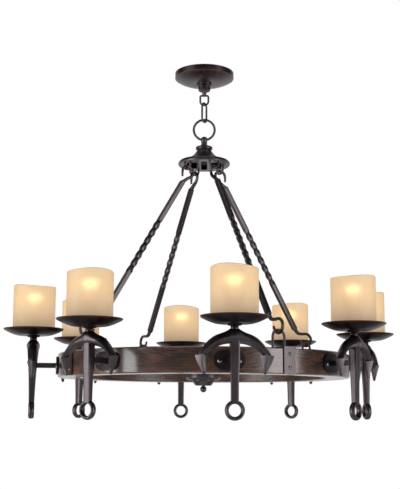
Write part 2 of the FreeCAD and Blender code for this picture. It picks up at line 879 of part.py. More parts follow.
def rim_loops():
    foot = rim_top() + number("strap_thickness")
    loop = staple(rim_loop_radius(), number("rim_loop_width"), number("rim_loop_wire"), rim_loop_height(), foot,
                  number("rim_loop_corner"))
    return finished("rim_loops", Part.makeCompound(around(loop, ROD_ANGLES)))


def rivet_head(radius, height):
    """A low domed head that stands on a face along +X."""
    ball_radius = (radius * radius + height * height) / (2 * height)
    ball = Part.makeSphere(ball_radius, Vector(height - ball_radius, 0, 0))
    return ball.common(Part.makeBox(height * 2, radius * 4, radius * 4, Vector(0, -radius * 2, -radius * 2)))


def strap_rivets():
    face = number("rim_outer_radius") + number("seat_gap") + number("strap_thickness")
    middle = rim_top() - number("rim_section") / 2
    heads = []
    for side in (-0.5, 0.5):
        head = rivet_head(number("rivet_radius"), number("rivet_height"))
        head.translate(Vector(face, 0, middle + side * number("rivet_spacing")))
        heads += around(head, ROD_ANGLES)
    return finished("strap_rivets", Part.makeCompound(heads))


# ---------------------------------------------------------------- arms and hub


def arm_plates():
    """Oval plates round the arms, rolled to the curve of the rim."""
    inner = number("rim_outer_radius") + number("seat_gap")
    thick, height, length = number("plate_thickness"), number("plate_height"), number("plate_length")
    tall = height * 2
    ring = Part.makeCylinder(inner + thick, tall).cut(Part.makeCylinder(inner, tall))
    ring.translate(Vector(0, 0, -number("arm_drop") - height))
    half, run = height / 2, (length - height) / 2
    middle = -number("arm_drop")
    outline = Part.Wire([
        Part.makeLine(Vector(0, -run, middle + half), Vector(0, run, middle + half)),
        Part.Arc(Vector(0, run, middle + half), Vector(0, run + half, middle),
                 Vector(0, run, middle - half)).toShape(),
        Part.makeLine(Vector(0, run, middle - half), Vector(0, -run, middle - half)),
        Part.Arc(Vector(0, -run, middle - half), Vector(0, -run - half, middle),
                 Vector(0, -run, middle + half)).toShape(),
    ])
    stadium = Part.Face(outline).extrude(Vector(inner + thick * 3, 0, 0))
    hole = number("arm_tube") + 2 * number("tube_fit")
    tube = Part.makeBox(inner * 2, hole, hole, Vector(0, -hole / 2, middle - hole / 2))
    plate = ring.common(stadium).cut(tube)
    return finished("arm_plates", Part.makeCompound(around(plate, LIGHT_ANGLES)))


def arm_plate_screws():
    face = number("rim_outer_radius") + number("seat_gap") + number("plate_thickness")
    heads = []
    for side in (-0.5, 0.5):
        turn = math.degrees(side * number("plate_screw_spacing") / face)
        head = rivet_head(number("rivet_radius"), number("rivet_height"))
        head.translate(Vector(face, 0, -number("arm_drop") - number("plate_screw_drop")))
        heads += around(head, [angle + turn for angle in LIGHT_ANGLES])
    return finished("arm_plate_screws", Part.makeCompound(heads))


def arm_tubes():
    """Square arms from the hub's sockets to the anchors' shanks."""
    width = size("arm_tube")
    start = size("hub_radius") - size("hub_socket_depth") + size("seat_gap")
    end = size("light_radius") - size("shank_arm_depth") / 2 - size("seat_gap")
    tubes = []
    for angle in LIGHT_ANGLES:
        turn = math.radians(angle)
        tube = document.addObject("Part::Box", "arm_tube")
        bind(tube, Length=end - start, Width=width, Height=width)
        tube.Placement = Placement(Vector(0, 0, 0), Rotation(Z_AXIS, angle))
        placed(tube, x=start * math.cos(turn) + width / 2 * math.sin(turn),
               y=start * math.sin(turn) - width / 2 * math.cos(turn), z=-size("arm_drop") - width / 2)
        tubes.append(tube)
    return group("arm_tubes", tubes)


def hub_body():
    radius, low, corner = size("hub_radius"), -under_arm("hub_under_arm"), size("hub_round")
    high = low + size("hub_height")
    blank = turned("hub_blank", [
        (0.0, low), (radius - corner, low), (radius, low + corner, corner),
        (radius, high - corner), (radius - corner, high, corner), (0.0, high),
    ])
    inner = round_bar("hub_core", radius - size("hub_socket_depth"), size("hub_height"), 0, 0, low)
    holes = document.addObject("Part::MultiFuse", "hub_sockets")
    holes.Shapes = tube_holes("hub", size("tube_fit"))
    sockets = document.addObject("Part::Cut", "hub_socket_ends")
    sockets.Base = holes
    sockets.Tool = inner
    cut = document.addObject("Part::Cut", "hub_body")
    cut.Base = blank
    cut.Tool = sockets
    return cut


def hub_cap():
    low = -under_arm("hub_under_arm")
    end = low - size("cap_height")
    return turned("hub_cap", [
        (0.0, end), (size("cap_end_radius"), end), (size("cap_radius"), low - size("cap_height") / 5),
        (size("cap_radius"), low), (0.0, low),
    ])


def hub_finial():
    radius, neck = size("finial_radius"), size("finial_neck_radius")
    top = -under_arm("hub_under_arm") - size("cap_height")
    middle = top - radius - size("finial_neck_length")
    reach = math.sqrt(number("finial_radius") ** 2 - number("finial_neck_radius") ** 2)
    return turned("hub_finial", [
        (0.0, middle - radius), (radius, middle, radius), (neck, middle + reach, radius), (neck, top), (0.0, top),
    ])


# ---------------------------------------------------------------- anchors


def diamond(place, across, thickness, depth):
    """A four-cornered section: thickness lies along across, depth along Y."""
    middle = Vector(0, 1, 0)
    corners = [place + across * (thickness / 2), place + middle * (depth / 2),
               place - across * (thickness / 2), place - middle * (depth / 2)]
    return Part.makePolygon(corners + corners[:1])


def anchor_arm():
    """One arm from the crown of the anchor to its fluke, in the XZ plane."""
    near, far = number("anchor_sweep_radius"), number("anchor_end_radius")
    centre = Vector(0, 0, -over_arm("anchor_over_arm").value - number("anchor_thickness") / 2 - near)
    sections = []
    for step in range(ARM_SECTIONS + 1):
        share = step / ARM_SECTIONS
        angle = math.radians(90 - number("anchor_sweep_angle") * share)
        across = Vector(math.cos(angle), 0, math.sin(angle))
        radius = near + (far - near) * share ** ARM_SPREAD
        thickness = number("anchor_thickness") * (1 - share) + number("anchor_end_thickness") * share
        depth = number("anchor_depth") * (1 - share) + number("anchor_end_depth") * share
        sections.append(diamond(centre + across * radius, across, thickness, depth))
    arm = Part.makeLoft(sections, True, False)
    return arm.fuse(anchor_fluke(centre + across * far))


def anchor_fluke(end):
    """Arrow-shaped point under the end of an arm, leaning in towards its tip."""
    width, depth, length = number("fluke_width"), number("fluke_depth"), number("fluke_length")
    base = end - Vector(number("fluke_inset"), 0, 0)
    tip = base - Vector(number("fluke_lean"), 0, length)
    across, sharp = Vector(1, 0, 0), number("fluke_point")
    barbs = diamond(base, across, width, depth)
    point = Part.makeLoft([barbs, diamond(tip, across, sharp, sharp)], True, True)
    neck = diamond(base + Vector(0, 0, number("fluke_back")), across, width / 2, number("anchor_end_depth"))
    return [point, Part.makeLoft([barbs, neck], True, True)]


def shank_section(height, width, depth):
    """A rectangle with its corners taken off."""
    bevel = number("shank_bevel")
    across, deep = width / 2, depth / 2
    corners = [(across, deep - bevel), (across - bevel, deep), (bevel - across, deep), (-across, deep - bevel),
               (-across, bevel - deep), (bevel - across, -deep), (across - bevel, -deep), (across, bevel - deep)]
    points = [Vector(x, y, height) for x, y in corners]
    return Part.makePolygon(points + points[:1])


def anchor_shank(top, bottom):
    """Tapering bar with a flat seat for the arm."""
    arm, seat = -number("arm_drop"), number("shank_seat")
    width, depth = number("shank_arm_width"), number("shank_arm_depth")
    return Part.makeLoft([
        shank_section(top, number("shank_top_width"), number("shank_top_depth")),
        shank_section(arm + seat, width, depth),
        shank_section(arm - seat, width, depth),
        shank_section(arm - number("shank_taper_drop"), number("shank_taper_width"), number("shank_taper_depth")),
        shank_section(bottom, number("shank_end_width"), number("shank_end_depth"))], True, True)


def oval(width, depth, height):
    """An ellipse across Z, longest along X unless it is round."""
    if width > depth:
        return Part.Wire([Part.Ellipse(Vector(0, 0, height), width / 2, depth / 2).toShape()])
    return Part.Wire([Part.Circle(Vector(0, 0, height), Z_AXIS, width / 2).toShape()])


def anchor_neck():
    """Round seat under the pan that flares down into the arms."""
    round_width, top = number("neck_radius") * 2, -over_arm("pan_over_arm").value
    wide, deep = number("neck_flare_width"), number("neck_flare_depth")
    low = -over_arm("anchor_over_arm").value - number("neck_flare_drop")
    bend = -over_arm("anchor_over_arm").value + number("neck_flare_drop")
    sections = [oval(round_width, round_width, bend)]
    for share in (1 / 3, 2 / 3, 1):
        sections.append(oval(round_width + (wide - round_width) * share ** ARM_SPREAD,
                             round_width + (deep - round_width) * share, bend + (low - bend) * share))
    stem = Part.makeCylinder(number("neck_radius"), top - bend, Vector(0, 0, bend))
    return [Part.makeLoft(sections, True, False), stem]


def shackle_ring(middle):
    """Ring of eight-sided section at the foot of the anchor."""
    hole, outer, depth = number("shackle_hole_radius"), number("shackle_radius"), number("shackle_depth")
    wall = outer - hole
    rim = [(hole, -depth / 5), (hole + wall / 4, -depth / 2), (outer - wall / 3, -depth / 2), (outer, -depth / 5),
           (outer, depth / 5), (outer - wall / 3, depth / 2), (hole + wall / 4, depth / 2), (hole, depth / 5)]
    points = [Vector(x, y, 0) for x, y in rim]
    ring = Part.Face(Part.makePolygon(points + points[:1])).revolve(Vector(0, 0, 0), Vector(0, 1, 0), 360)
    ring.translate(Vector(0, 0, middle))
    return ring


def anchor_casting():
    """Neck, two arms with flukes, shank and shackle ring, cast in one piece, in the XZ plane."""
    right = anchor_arm()
    left = right.mirror(Vector(0, 0, 0), Vector(1, 0, 0))
    middle = -over_arm("anchor_over_arm").value - number("anchor_thickness") / 2
    ring_middle = -under_arm("anchor_under_arm").value + number("shackle_radius")
    wall = number("shackle_radius") - number("shackle_hole_radius")
    shank = anchor_shank(middle, ring_middle + number("shackle_hole_radius") + wall / 4)
    bore = Part.makeCylinder(number("nipple_radius") + number("seat_gap"), number("nipple_depth"),
                             Vector(0, 0, -over_arm("pan_over_arm").value - number("nipple_depth")))
    return right.fuse([left, shank, shackle_ring(ring_middle)] + anchor_neck()).cut(bore)


def anchor(index, angle, casting):
    piece = finished(f"anchor_{index}", casting)
    turn = math.radians(angle)
    reach = number("light_radius")
    piece.Placement = Placement(Vector(reach * math.cos(turn), reach * math.sin(turn), 0),
                                Rotation(Z_AXIS, angle + 90))
    return piece


# ---------------------------------------------------------------- pans, shades and lamps


def pan_top():
    """Top of the pan's floor."""
    return -over_arm("pan_over_arm") + size("pan_boss_height")


def drip_pan(index):
    seat, wall = -over_arm("pan_over_arm"), size("pan_wall")
    floor, rim, bore = size("pan_floor_radius"), size("pan_radius"), size("nipple_radius") + size("seat_gap")
    top = pan_top()
    lip = seat + size("pan_height")
    boss = size("pan_boss_radius")
    return turned(f"drip_pan_{index}", [
        (bore, seat), (boss, seat), (boss + wall, top - wall), (floor, top - wall),
        (rim - wall, lip - wall * 2, size("pan_sweep")), (rim, lip - wall), (rim, lip), (rim - wall * 1.5, lip),
        (floor, top, -size("pan_sweep")), (bore, top),
    ])


def shade_floor():
    """Underside of the shade, resting in the pan where the pan begins to rise."""
    return pan_top() + size("shade_lift")


def glass_shade(index):
    radius, wall, low = size("shade_radius"), size("shade_wall"), shade_floor()
    high, corner = low + size("shade_height"), size("shade_wall") * 1.5
    return turned(f"glass_shade_{index}", [
        (size("shade_hole_radius"), low), (radius - corner, low), (radius, low + corner, corner),
        (radius, high), (radius - wall, high), (radius - wall, low + corner),
        (radius - corner, low + wall, -(corner - wall)), (size("shade_hole_radius"), low + wall),
    ])


def holder_base():
    return shade_floor() + size("shade_wall") + size("holder_ring_height")


def lampholder(index):
    radius, bore, low = size("holder_radius"), size("holder_bore_radius"), holder_base()
    high = low + size("holder_height")
    floor = high - size("holder_bore_depth")
    lip = size("holder_lip")
    return turned(f"lampholder_{index}", [
        (size("nipple_radius") + size("seat_gap"), low), (radius - lip, low), (radius - lip, floor),
        (radius, floor + lip), (radius, high - lip), (radius - lip / 2, high), (bore, high), (bore, floor),
        (size("nipple_radius") + size("seat_gap"), floor),
    ])


def socket_ring(index):
    low = shade_floor() + size("shade_wall")
    high, radius = low + size("holder_ring_height"), size("holder_ring_radius")
    return turned(f"socket_ring_{index}", [
        (size("nipple_radius") + size("seat_gap"), low), (radius, low), (radius, high - 1), (radius - 1, high),
        (size("nipple_radius") + size("seat_gap"), high),
    ])


def socket_nipple(index):
    low = -over_arm("pan_over_arm") - size("nipple_depth") + 1
    high, radius = holder_base() + size("nipple_depth"), size("nipple_radius")
    return turned(f"socket_nipple_{index}", [
        (radius - size("nipple_wall"), low), (radius, low), (radius, high), (radius - size("nipple_wall"), high),
    ])


def bulb(index):
    """Lamp with its cap down in the holder, and a rounded envelope."""
    cap, radius = size("lamp_cap_radius"), size("lamp_radius")
    seat = holder_base() + size("holder_height") + size("hang_gap")
    top = seat + size("lamp_height")
    middle = top - radius
    return turned(f"bulb_{index}", [
        (0.0, seat - size("lamp_cap_length")), (cap - 1, seat - size("lamp_cap_length")),
        (cap, seat - size("lamp_cap_length") + 1), (cap, seat), (cap + 1.5, seat), (radius, middle, -size("lamp_sweep")),
        (0.0, top, radius),
    ])


# ---------------------------------------------------------------- assembly


def build():
    parts = {}

    def keep(label, piece):
        piece.Label = label
        parts[label] = piece

    keep("ceiling_canopy", ceiling_canopy())
    keep("mounting_crossbar", mounting_crossbar())
    keep("canopy_stem", canopy_stem())
    keep("stem_locknut", nut("stem_locknut", size("locknut_flats"), size("locknut_height"),
                             size("stem_radius") + size("seat_gap"), -size("crossbar_thickness")))
    keep("canopy_collar", canopy_collar())
    keep("canopy_loop", canopy_loop())
    keep("chain_link", chain_link())
    keep("suspension_ring", suspension_ring())
    keep("crown_eye", crown_eye())
    keep("crown_bell", crown_bell())
    keep("crown_plate", crown_plate())
    keep("crown_loops", crown_loops())
    keep("crown_nut", nut("crown_nut", size("crown_nut_flats"), size("crown_nut_height"),
                          size("eye_tenon_radius") + size("seat_gap"), -size("crown_top") - size("crown_web")))
    rod = hanger_rod()
    for index, angle in enumerate(ROD_ANGLES, start=1):
        piece = finished(f"hanger_rod_{index}", rod)
        piece.Placement = Placement(Vector(0, 0, 0), Rotation(Z_AXIS, angle))
        keep(f"hanger_rod_{index}", piece)
        keep(f"rim_felloe_{index}", felloe(index, angle))
    keep("rim_straps", rim_straps())
    keep("rim_loops", rim_loops())
    keep("strap_rivets", strap_rivets())
    keep("arm_plates", arm_plates())
    keep("arm_plate_screws", arm_plate_screws())
    keep("arm_tubes", arm_tubes())
    keep("hub_body", hub_body())
    keep("hub_cap", hub_cap())
    keep("hub_finial", hub_finial())
    casting = anchor_casting()
    stacks = {"drip_pans": drip_pan, "lampholders": lampholder, "socket_rings": socket_ring,
              "socket_nipples": socket_nipple}
    stacked = {label: [] for label in stacks}
    for index, angle in enumerate(LIGHT_ANGLES, start=1):
        keep(f"anchor_{index}", anchor(index, angle, casting))
        keep(f"glass_shade_{index}", at_light(glass_shade(index), angle))
        keep(f"bulb_{index}", at_light(bulb(index), angle))
        for label, make in stacks.items():
            stacked[label].append(at_light(make(index), angle))
    for label, pieces in stacked.items():
        keep(label, group(label, pieces))
    return parts


def check(parts):
    """Stops on any failed feature, and on any sub-part that isn't a sound shape."""
    document.recompute()
    for item in document.Objects:
        if "Invalid" in item.State or "Error" in item.State:
            raise RuntimeError(f"{item.Label} failed: {item.State}")
    for label, piece in parts.items():
        if piece.Shape.isNull() or not piece.Shape.isValid() or not piece.Shape.Solids:
            raise RuntimeError(f"{label} has no sound shape")


def export(parts):
    os.makedirs("parts", exist_ok=True)
    for label, piece in parts.items():
        piece.Shape.exportStep(f"parts/{label}.step")


sub_parts = build()
check(sub_parts)
export(sub_parts)
print(f"{len(sub_parts)} sub-parts, {sum(len(piece.Shape.Solids) for piece in sub_parts.values())} solids")
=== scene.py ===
"""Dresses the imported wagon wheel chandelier: iron, wood, lit glass, and the stage it hangs in."""

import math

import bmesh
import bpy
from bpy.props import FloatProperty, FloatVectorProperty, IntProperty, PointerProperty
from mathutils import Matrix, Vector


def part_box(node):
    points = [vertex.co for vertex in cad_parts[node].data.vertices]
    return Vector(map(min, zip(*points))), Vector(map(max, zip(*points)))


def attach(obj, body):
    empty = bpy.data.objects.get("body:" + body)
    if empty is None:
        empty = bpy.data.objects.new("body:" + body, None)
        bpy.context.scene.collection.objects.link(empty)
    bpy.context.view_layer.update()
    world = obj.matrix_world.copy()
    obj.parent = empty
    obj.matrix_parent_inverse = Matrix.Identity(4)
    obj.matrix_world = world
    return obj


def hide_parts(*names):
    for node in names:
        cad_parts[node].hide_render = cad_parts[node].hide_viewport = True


bl_info = {
    "name": "Wagon Wheel Chandelier",
    "version": (1, 0, 0),
    "blender": (4, 5, 0),
    "location": "View3D > Sidebar > Chandelier",
    "description": "Builds the glass, ironwork and wood of a wagon wheel chandelier round its frame",
    "category": "Add Mesh",
}

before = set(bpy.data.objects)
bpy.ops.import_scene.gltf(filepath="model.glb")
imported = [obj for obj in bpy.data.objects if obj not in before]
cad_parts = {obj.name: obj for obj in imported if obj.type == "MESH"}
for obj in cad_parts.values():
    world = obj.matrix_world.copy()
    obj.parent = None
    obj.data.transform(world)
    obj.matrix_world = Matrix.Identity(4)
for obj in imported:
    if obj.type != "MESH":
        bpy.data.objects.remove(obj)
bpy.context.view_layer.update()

MM = 0.001
WHEEL = "wheel_frame"


# ---------------------------------------------------------------- places read from the frame


def corners(node):
    """Lowest and highest corner of a node, in millimetres."""
    low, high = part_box(node)
    return low / MM, high / MM


def middle_height(node):
    """Height of a node's middle, in millimetres."""
    low, high = corners(node)
    return (low.z + high.z) / 2


class Light:
    """One of the eight lights: its number, its place round the wheel and its turn."""

    def __init__(self, number):
        low, high = corners(f"glass_shade_{number}")
        middle = (low + high) / 2
        self.number = number
        self.reach = math.hypot(middle.x, middle.y)
        self.angle = math.atan2(middle.y, middle.x)
        self.bottom, self.top = low.z, high.z
        self.radius = (high.x - low.x) / 2

    def place(self, turn=0.0):
        """Carries a mesh made on the Z axis, in metres, out to this light."""
        reach = self.reach * MM
        where = Matrix.Translation((reach * math.cos(self.angle), reach * math.sin(self.angle), 0))
        return where @ Matrix.Rotation(self.angle + turn, 4, "Z")


LIGHTS = [Light(number) for number in range(1, 9)]
LAMP_Z = middle_height("bulb_1")
# turn of each rod about the axis, in radians
ROD_TURNS = [math.radians(90 * index) for index in range(4)]
# turn of each glass's wavy rim, in degrees
WAVE_TURNS = (60, 20, 25, -40, 55, 0, 80, 100)
# thickness of the loops under the crown and on the rim, in millimetres
CROWN_WIRE = 5.0
RIM_WIRE = 6.0


# ---------------------------------------------------------------- settings


def colour(name, text, value):
    return FloatVectorProperty(name=name, description=text, subtype="COLOR", size=3, default=value,
                               min=0, max=1)


def millimetres(name, text, value):
    return FloatProperty(name=name, description=text, default=value, min=0)


class IronSettings(bpy.types.PropertyGroup):
    """Finish of the ironwork."""

    dark: colour("Dark", "The finish in the hollows", (0.0036, 0.0024, 0.0026))
    worn: colour("Worn", "The finish where it is thinner", (0.0130, 0.0085, 0.0095))
    # red-brown of rubbed wear, which on the canopy's edge is a painted highlight
    rubbed_and_highlight: colour("Rubbed", "Red-brown showing on lips and edges", (0.130, 0.034, 0.024))
    roughness: FloatProperty(name="Roughness", description="Mean roughness", default=0.33, min=0, max=1)


class WoodSettings(bpy.types.PropertyGroup):
    """Stain and varnish of the rim."""

    pale: colour("Pale", "Early wood", (0.250, 0.090, 0.040))
    dark: colour("Dark", "Late wood", (0.012, 0.0045, 0.0030))
    ring_width: millimetres("Ring width", "Mean distance between year rings", 6.0)


class GlassSettings(bpy.types.PropertyGroup):
    """Shape and glow of the glass cylinders."""

    wall: millimetres("Wall", "Thickness of the glass", 4.0)
    hole: millimetres("Hole", "Radius of the hole in the foot", 15.0)
    wave: millimetres("Wave", "How far the rim rises and falls", 3.0)
    wave_depth: millimetres("Wave depth", "How far below the rim the wave fades out", 24.0)
    # body, glow, edge and foot are the painted glow and painted shade of the lamp's light through the glass
    body: colour("Body", "Colour of the lit glass", (0.780, 0.580, 0.375))
    glow: colour("Glow", "Colour round the lamp", (0.870, 0.620, 0.325))
    edge: colour("Edge", "Colour of the lit cut edge", (0.44, 0.30, 0.18))
    lamp: colour("Lamp", "Hottest part of the lamp", (1.0, 0.88, 0.58))
    foot: colour("Foot", "Colour of the shaded foot", (0.260, 0.195, 0.148))
    steps: IntProperty(name="Steps", description="Divisions round the glass", default=96, min=12)


class PanSettings(bpy.types.PropertyGroup):
    """Sizes of the drip pans."""

    radius: millimetres("Radius", "Over the rolled lip", 73.0)
    floor_radius: millimetres("Floor radius", "Of the flat floor", 36.0)
    floor_lift: millimetres("Floor lift", "Top of the floor, above the pan's seat", 6.0)
    rise: millimetres("Rise", "Height of the bowl's side above its floor", 13.0)
    wall: millimetres("Wall", "Thickness of the sheet", 2.0)
    boss: millimetres("Boss", "Radius of the seat under the floor", 16.0)
    bore: millimetres("Bore", "Radius of the hole for the nipple", 5.0)
    steps: IntProperty(name="Steps", description="Divisions round the pan", default=72, min=12)


class RodSettings(bpy.types.PropertyGroup):
    """Sizes of the hanger rods."""

    square: millimetres("Square", "Side of the bar", 12.0)
    top_radius: millimetres("Top radius", "Where the straight bar begins, from the axis", 63.0)
    top_drop: millimetres("Top drop", "Where the straight bar begins, below the ceiling", 296.0)
    bottom_radius: millimetres("Bottom radius", "Where the straight bar ends, from the axis", 284.0)
    bottom_drop: millimetres("Bottom drop", "Where the straight bar ends, below the ceiling", 656.0)
    plain_share: FloatProperty(name="Plain share", description="Plain part above the twist", default=0.30,
                               min=0, max=1)
    twist_share: FloatProperty(name="Twist share", description="Twisted part", default=0.38, min=0, max=1)
    quarter_turns: IntProperty(name="Quarter turns", description="Number of them in the twist", default=7,
                               min=0)
    hook: millimetres("Hook", "Thickness of the hooks", 7.2)
    tip: millimetres("Tip", "Thickness of the horns' ends", 5.0)
    upper_bend: millimetres("Upper bend", "Radius of the upper hooks", 15.0)
    lower_bend: millimetres("Lower bend", "Radius of the lower hooks", 16.0)
    seat: millimetres("Seat", "Gap between a hook and its loop", 0.3)


class AnchorSettings(bpy.types.PropertyGroup):
    """Sizes of the anchor castings."""

    drop: millimetres("Drop", "Top of the arms' crown, below the pan's seat", 14.0)
    thickness: millimetres("Thickness", "Height of the arms at the crown", 24.0)
    depth: millimetres("Depth", "Depth of the arms at the crown", 32.0)
    sweep: millimetres("Sweep", "Radius of the arms' middle line at the crown", 68.0)
    end_sweep: millimetres("End sweep", "Radius of the arms' middle line at the flukes", 77.0)
    reach: FloatProperty(name="Reach", description="Turn of each arm, in degrees", default=66,
                         min=0, max=90)
    end_thickness: millimetres("End thickness", "Height of the arms at the flukes", 16.5)
    end_depth: millimetres("End depth", "Depth of the arms at the flukes", 20.0)
    flare: millimetres("Flare", "Rise of the crown towards the neck", 9.0)
    bulge: millimetres("Bulge", "Extra thickness at the arms' shoulders", 3.0)
    fluke_width: millimetres("Fluke width", "Width across the barbs", 30.0)
    fluke_length: millimetres("Fluke length", "From the barbs to the point", 38.0)
    shank_width: millimetres("Shank width", "Width of the shank at its top", 20.0)
    shank_end: millimetres("Shank end", "Width of the shank at the ring", 16.0)
    hole: millimetres("Hole", "Radius of the ring's hole", 13.0)
    ring: millimetres("Ring", "Radius over the ring", 21.0)


class LoopSettings(bpy.types.PropertyGroup):
    """Sizes of the round-topped loops on the rim."""

    half_width: millimetres("Half width", "Radius of the loop's middle line", 16.0)
    foot: millimetres("Foot", "Straight part above the rim", 8.0)


class StageSettings(bpy.types.PropertyGroup):
    """Camera, lamps and floor."""

    azimuth: FloatProperty(name="Azimuth", description="Camera's turn round the axis, in degrees",
                           default=-31.4)
    distance: FloatProperty(name="Distance", description="From the axis", default=2.472, unit="LENGTH")
    height: FloatProperty(name="Height", description="Camera's height, from the ceiling plane",
                          default=-0.8719, unit="LENGTH")
    pitch: FloatProperty(name="Pitch", description="Camera's tilt upwards, in degrees", default=9.6245)
    aside: FloatProperty(name="Aside", description="Camera's turn off the axis, in degrees", default=0.2261)
    lens: FloatProperty(name="Lens", description="Focal length in millimetres", default=72.7)
    roll: FloatProperty(name="Roll", description="Camera's turn about its view, in degrees", default=0.227)
    fill: FloatProperty(name="Fill", description="Light from the room all round", default=0.05)
    floor: FloatProperty(name="Floor", description="Height of the floor", default=-2.4, unit="LENGTH")
    floor_size: FloatProperty(name="Floor size", description="Half the side of the floor", default=60.0,
                              unit="LENGTH")


class ChandelierSettings(bpy.types.PropertyGroup):
    """All the settings."""

    iron: PointerProperty(type=IronSettings)
    wood: PointerProperty(type=WoodSettings)
    glass: PointerProperty(type=GlassSettings)
    pans: PointerProperty(type=PanSettings)
    rods: PointerProperty(type=RodSettings)
    anchors: PointerProperty(type=AnchorSettings)
    loops: PointerProperty(type=LoopSettings)
    stage: PointerProperty(type=StageSettings)


def settings():
    """The settings of this scene."""
    return bpy.context.scene.chandelier


# ---------------------------------------------------------------- shader maths


class Wire:
    """A shader socket that Python arithmetic adds Math nodes to."""

    def __init__(self, nodes, socket):
        self.nodes = nodes
        self.socket = socket

    def math(self, operation, other=None, swap=False):
        """Adds a Math node; swap puts the other value first."""
        values = (other, self) if swap else (self, other)
        sockets = {index: item for index, item in enumerate(values) if item is not None}
        return self.nodes.node("ShaderNodeMath", sockets, operation=operation)

    def __add__(self, other):
        return self.math("ADD", other)

    def __radd__(self, other):
        return self.math("ADD", other, swap=True)

    def __sub__(self, other):
        return self.math("SUBTRACT", other)

    def __rsub__(self, other):
        return self.math("SUBTRACT", other, swap=True)

    def __mul__(self, other):
        return self.math("MULTIPLY", other)

    def __rmul__(self, other):
        return self.math("MULTIPLY", other, swap=True)

    def __truediv__(self, other):
        return self.math("DIVIDE", other)

    def __rtruediv__(self, other):
        return self.math("DIVIDE", other, swap=True)

    def __pow__(self, other):
        return self.math("POWER", other)

    def __rpow__(self, other):
        return self.math("POWER", other, swap=True)

    def clamped(self):
        """Held between 0 and 1."""
        return self.nodes.node("ShaderNodeClamp", {"Value": self})

    def between(self, low, high):
        """0 at low and 1 at high, held at its ends."""
        return ((self - low) / (high - low)).clamped()


class Nodes:
    """The nodes of a material or of the world."""

    def __init__(self, owner):
        owner.use_nodes = True
        self.tree = owner.node_tree
        self.tree.nodes.clear()

    def node(self, kind, sockets=None, output=0, **node_settings):
        """Adds a node, sets its settings, sets or links its sockets, and returns one of its outputs."""
        node = self.tree.nodes.new(kind)
        for key, item in node_settings.items():
            setattr(node, key, item)
        for key, item in (sockets or {}).items():
            target = node.inputs[key]
            if isinstance(item, Wire):
                self.tree.links.new(item.socket, target)
            elif target.type == "RGBA":
                target.default_value = (*item, 1)
            else:
                target.default_value = item
        return Wire(self, node.outputs[output]) if node.outputs else None

    def ray(self, kind):
        """1 on rays of this kind, and 0 on others."""
        return self.node("ShaderNodeLightPath", output=f"Is {kind} Ray")


class Finish(Nodes):
    """A material under construction."""

    def __init__(self, name):
        self.material = bpy.data.materials.new(name)
        super().__init__(self.material)

    def place(self):
        """Object coordinates, in millimetres."""
        where = self.node("ShaderNodeTexCoord", output="Object")
        return self.node("ShaderNodeVectorMath", {"Vector": where, "Scale": 1 / MM}, operation="SCALE")

    def axes(self, place):
        """X, Y and Z of a place."""
        split = self.node("ShaderNodeSeparateXYZ", {"Vector": place}).socket.node
        return [Wire(self, output) for output in split.outputs]

    def vector(self, x, y, z):
        return self.node("ShaderNodeCombineXYZ", {"X": x, "Y": y, "Z": z})

    def noise(self, place, grain, detail=3.0, roughness=0.55):
        """Noise whose blobs are about grain millimetres across, from 0 to 1."""
        sockets = {"Vector": place, "Scale": 1 / grain, "Detail": detail, "Roughness": roughness}
        return self.node("ShaderNodeTexNoise", sockets)

    def mix(self, share, first, second):
        """Mixes two colours: the first at share 0, the second at 1."""
        factor, colour_a, colour_b, result = 0, 6, 7, 2
        sockets = {factor: share, colour_a: first, colour_b: second}
        return self.node("ShaderNodeMix", sockets, result, data_type="RGBA")

    def bump(self, height, depth, strength):
        """A bump of the given depth in millimetres."""
        return self.node("ShaderNodeBump", {"Height": height, "Distance": depth * MM, "Strength": strength})

    def surface(self, **sockets):
        """A Principled BSDF; a socket's name has low lines for its spaces."""
        named = {key.replace("_", " "): item for key, item in sockets.items()}
        return self.node("ShaderNodeBsdfPrincipled", named)

    def blend(self, share, first, second):
        """Mixes two shaders: the first at share 0, the second at 1."""
        return self.node("ShaderNodeMixShader", {0: share, 1: first, 2: second})

    def done(self, surface):
        """Joins the surface to the output and gives back the material."""
        self.node("ShaderNodeOutputMaterial", {"Surface": surface})
        return self.material


# ---------------------------------------------------------------- finishes


def iron_finish(name, edge=None, spread=3.0, matt=0.0, gloss=1.8, relief=1.0):
    """Dark bronze-black iron, red-brown in random rubbed patches and within the spread of an edge at the
    given height, which is rubbed wear on the pans' lip and a painted highlight on the canopy's edge.
    """
    tint = settings().iron
    finish = Finish(name)
    place = finish.place()
    cloud = finish.noise(place, 26.0, 4.0)
    pits = finish.noise(place, 1.6, 3.0, 0.6)
    ripple = finish.noise(place, 9.0, 2.0)
    wear = cloud.between(0.40, 0.66)
    shade = finish.mix(wear * 0.8, tint.dark, tint.worn)
    rub_and_highlight = finish.noise(place, 14.0, 3.0, 0.6).between(0.56, 0.74) * 0.22
    if edge is not None:
        # the band at the edge's height: rubbed wear on a pan's lip, a painted highlight on the canopy's
        # edge
        height = finish.axes(place)[2]
        rub_and_highlight = (rub_and_highlight + (1 - ((height - edge) / spread).math("ABSOLUTE")).clamped()).clamped()
    shade = finish.mix(rub_and_highlight, shade, tint.rubbed_and_highlight)
    rough = tint.roughness + matt + (pits - 0.5) * 0.12 + (cloud - 0.5) * 0.14
    bump = finish.bump(pits * 0.15 + ripple, 0.3 * relief, 0.4)
    return finish.done(finish.surface(Base_Color=shade, Roughness=rough, Metallic=0.10, IOR=gloss,
                                      Specular_Tint=(1.0, 0.86, 0.91), Normal=bump))


def steel_finish():
    """Dull zinc plate on the hidden fittings."""
    finish = Finish("dull_zinc")
    place = finish.place()
    cloud = finish.noise(place, 7.0, 4.0)
    shade = finish.mix(cloud, (0.30, 0.29, 0.27), (0.50, 0.49, 0.46))
    return finish.done(finish.surface(Base_Color=shade, Roughness=0.30 + cloud * 0.25, Metallic=1.0))


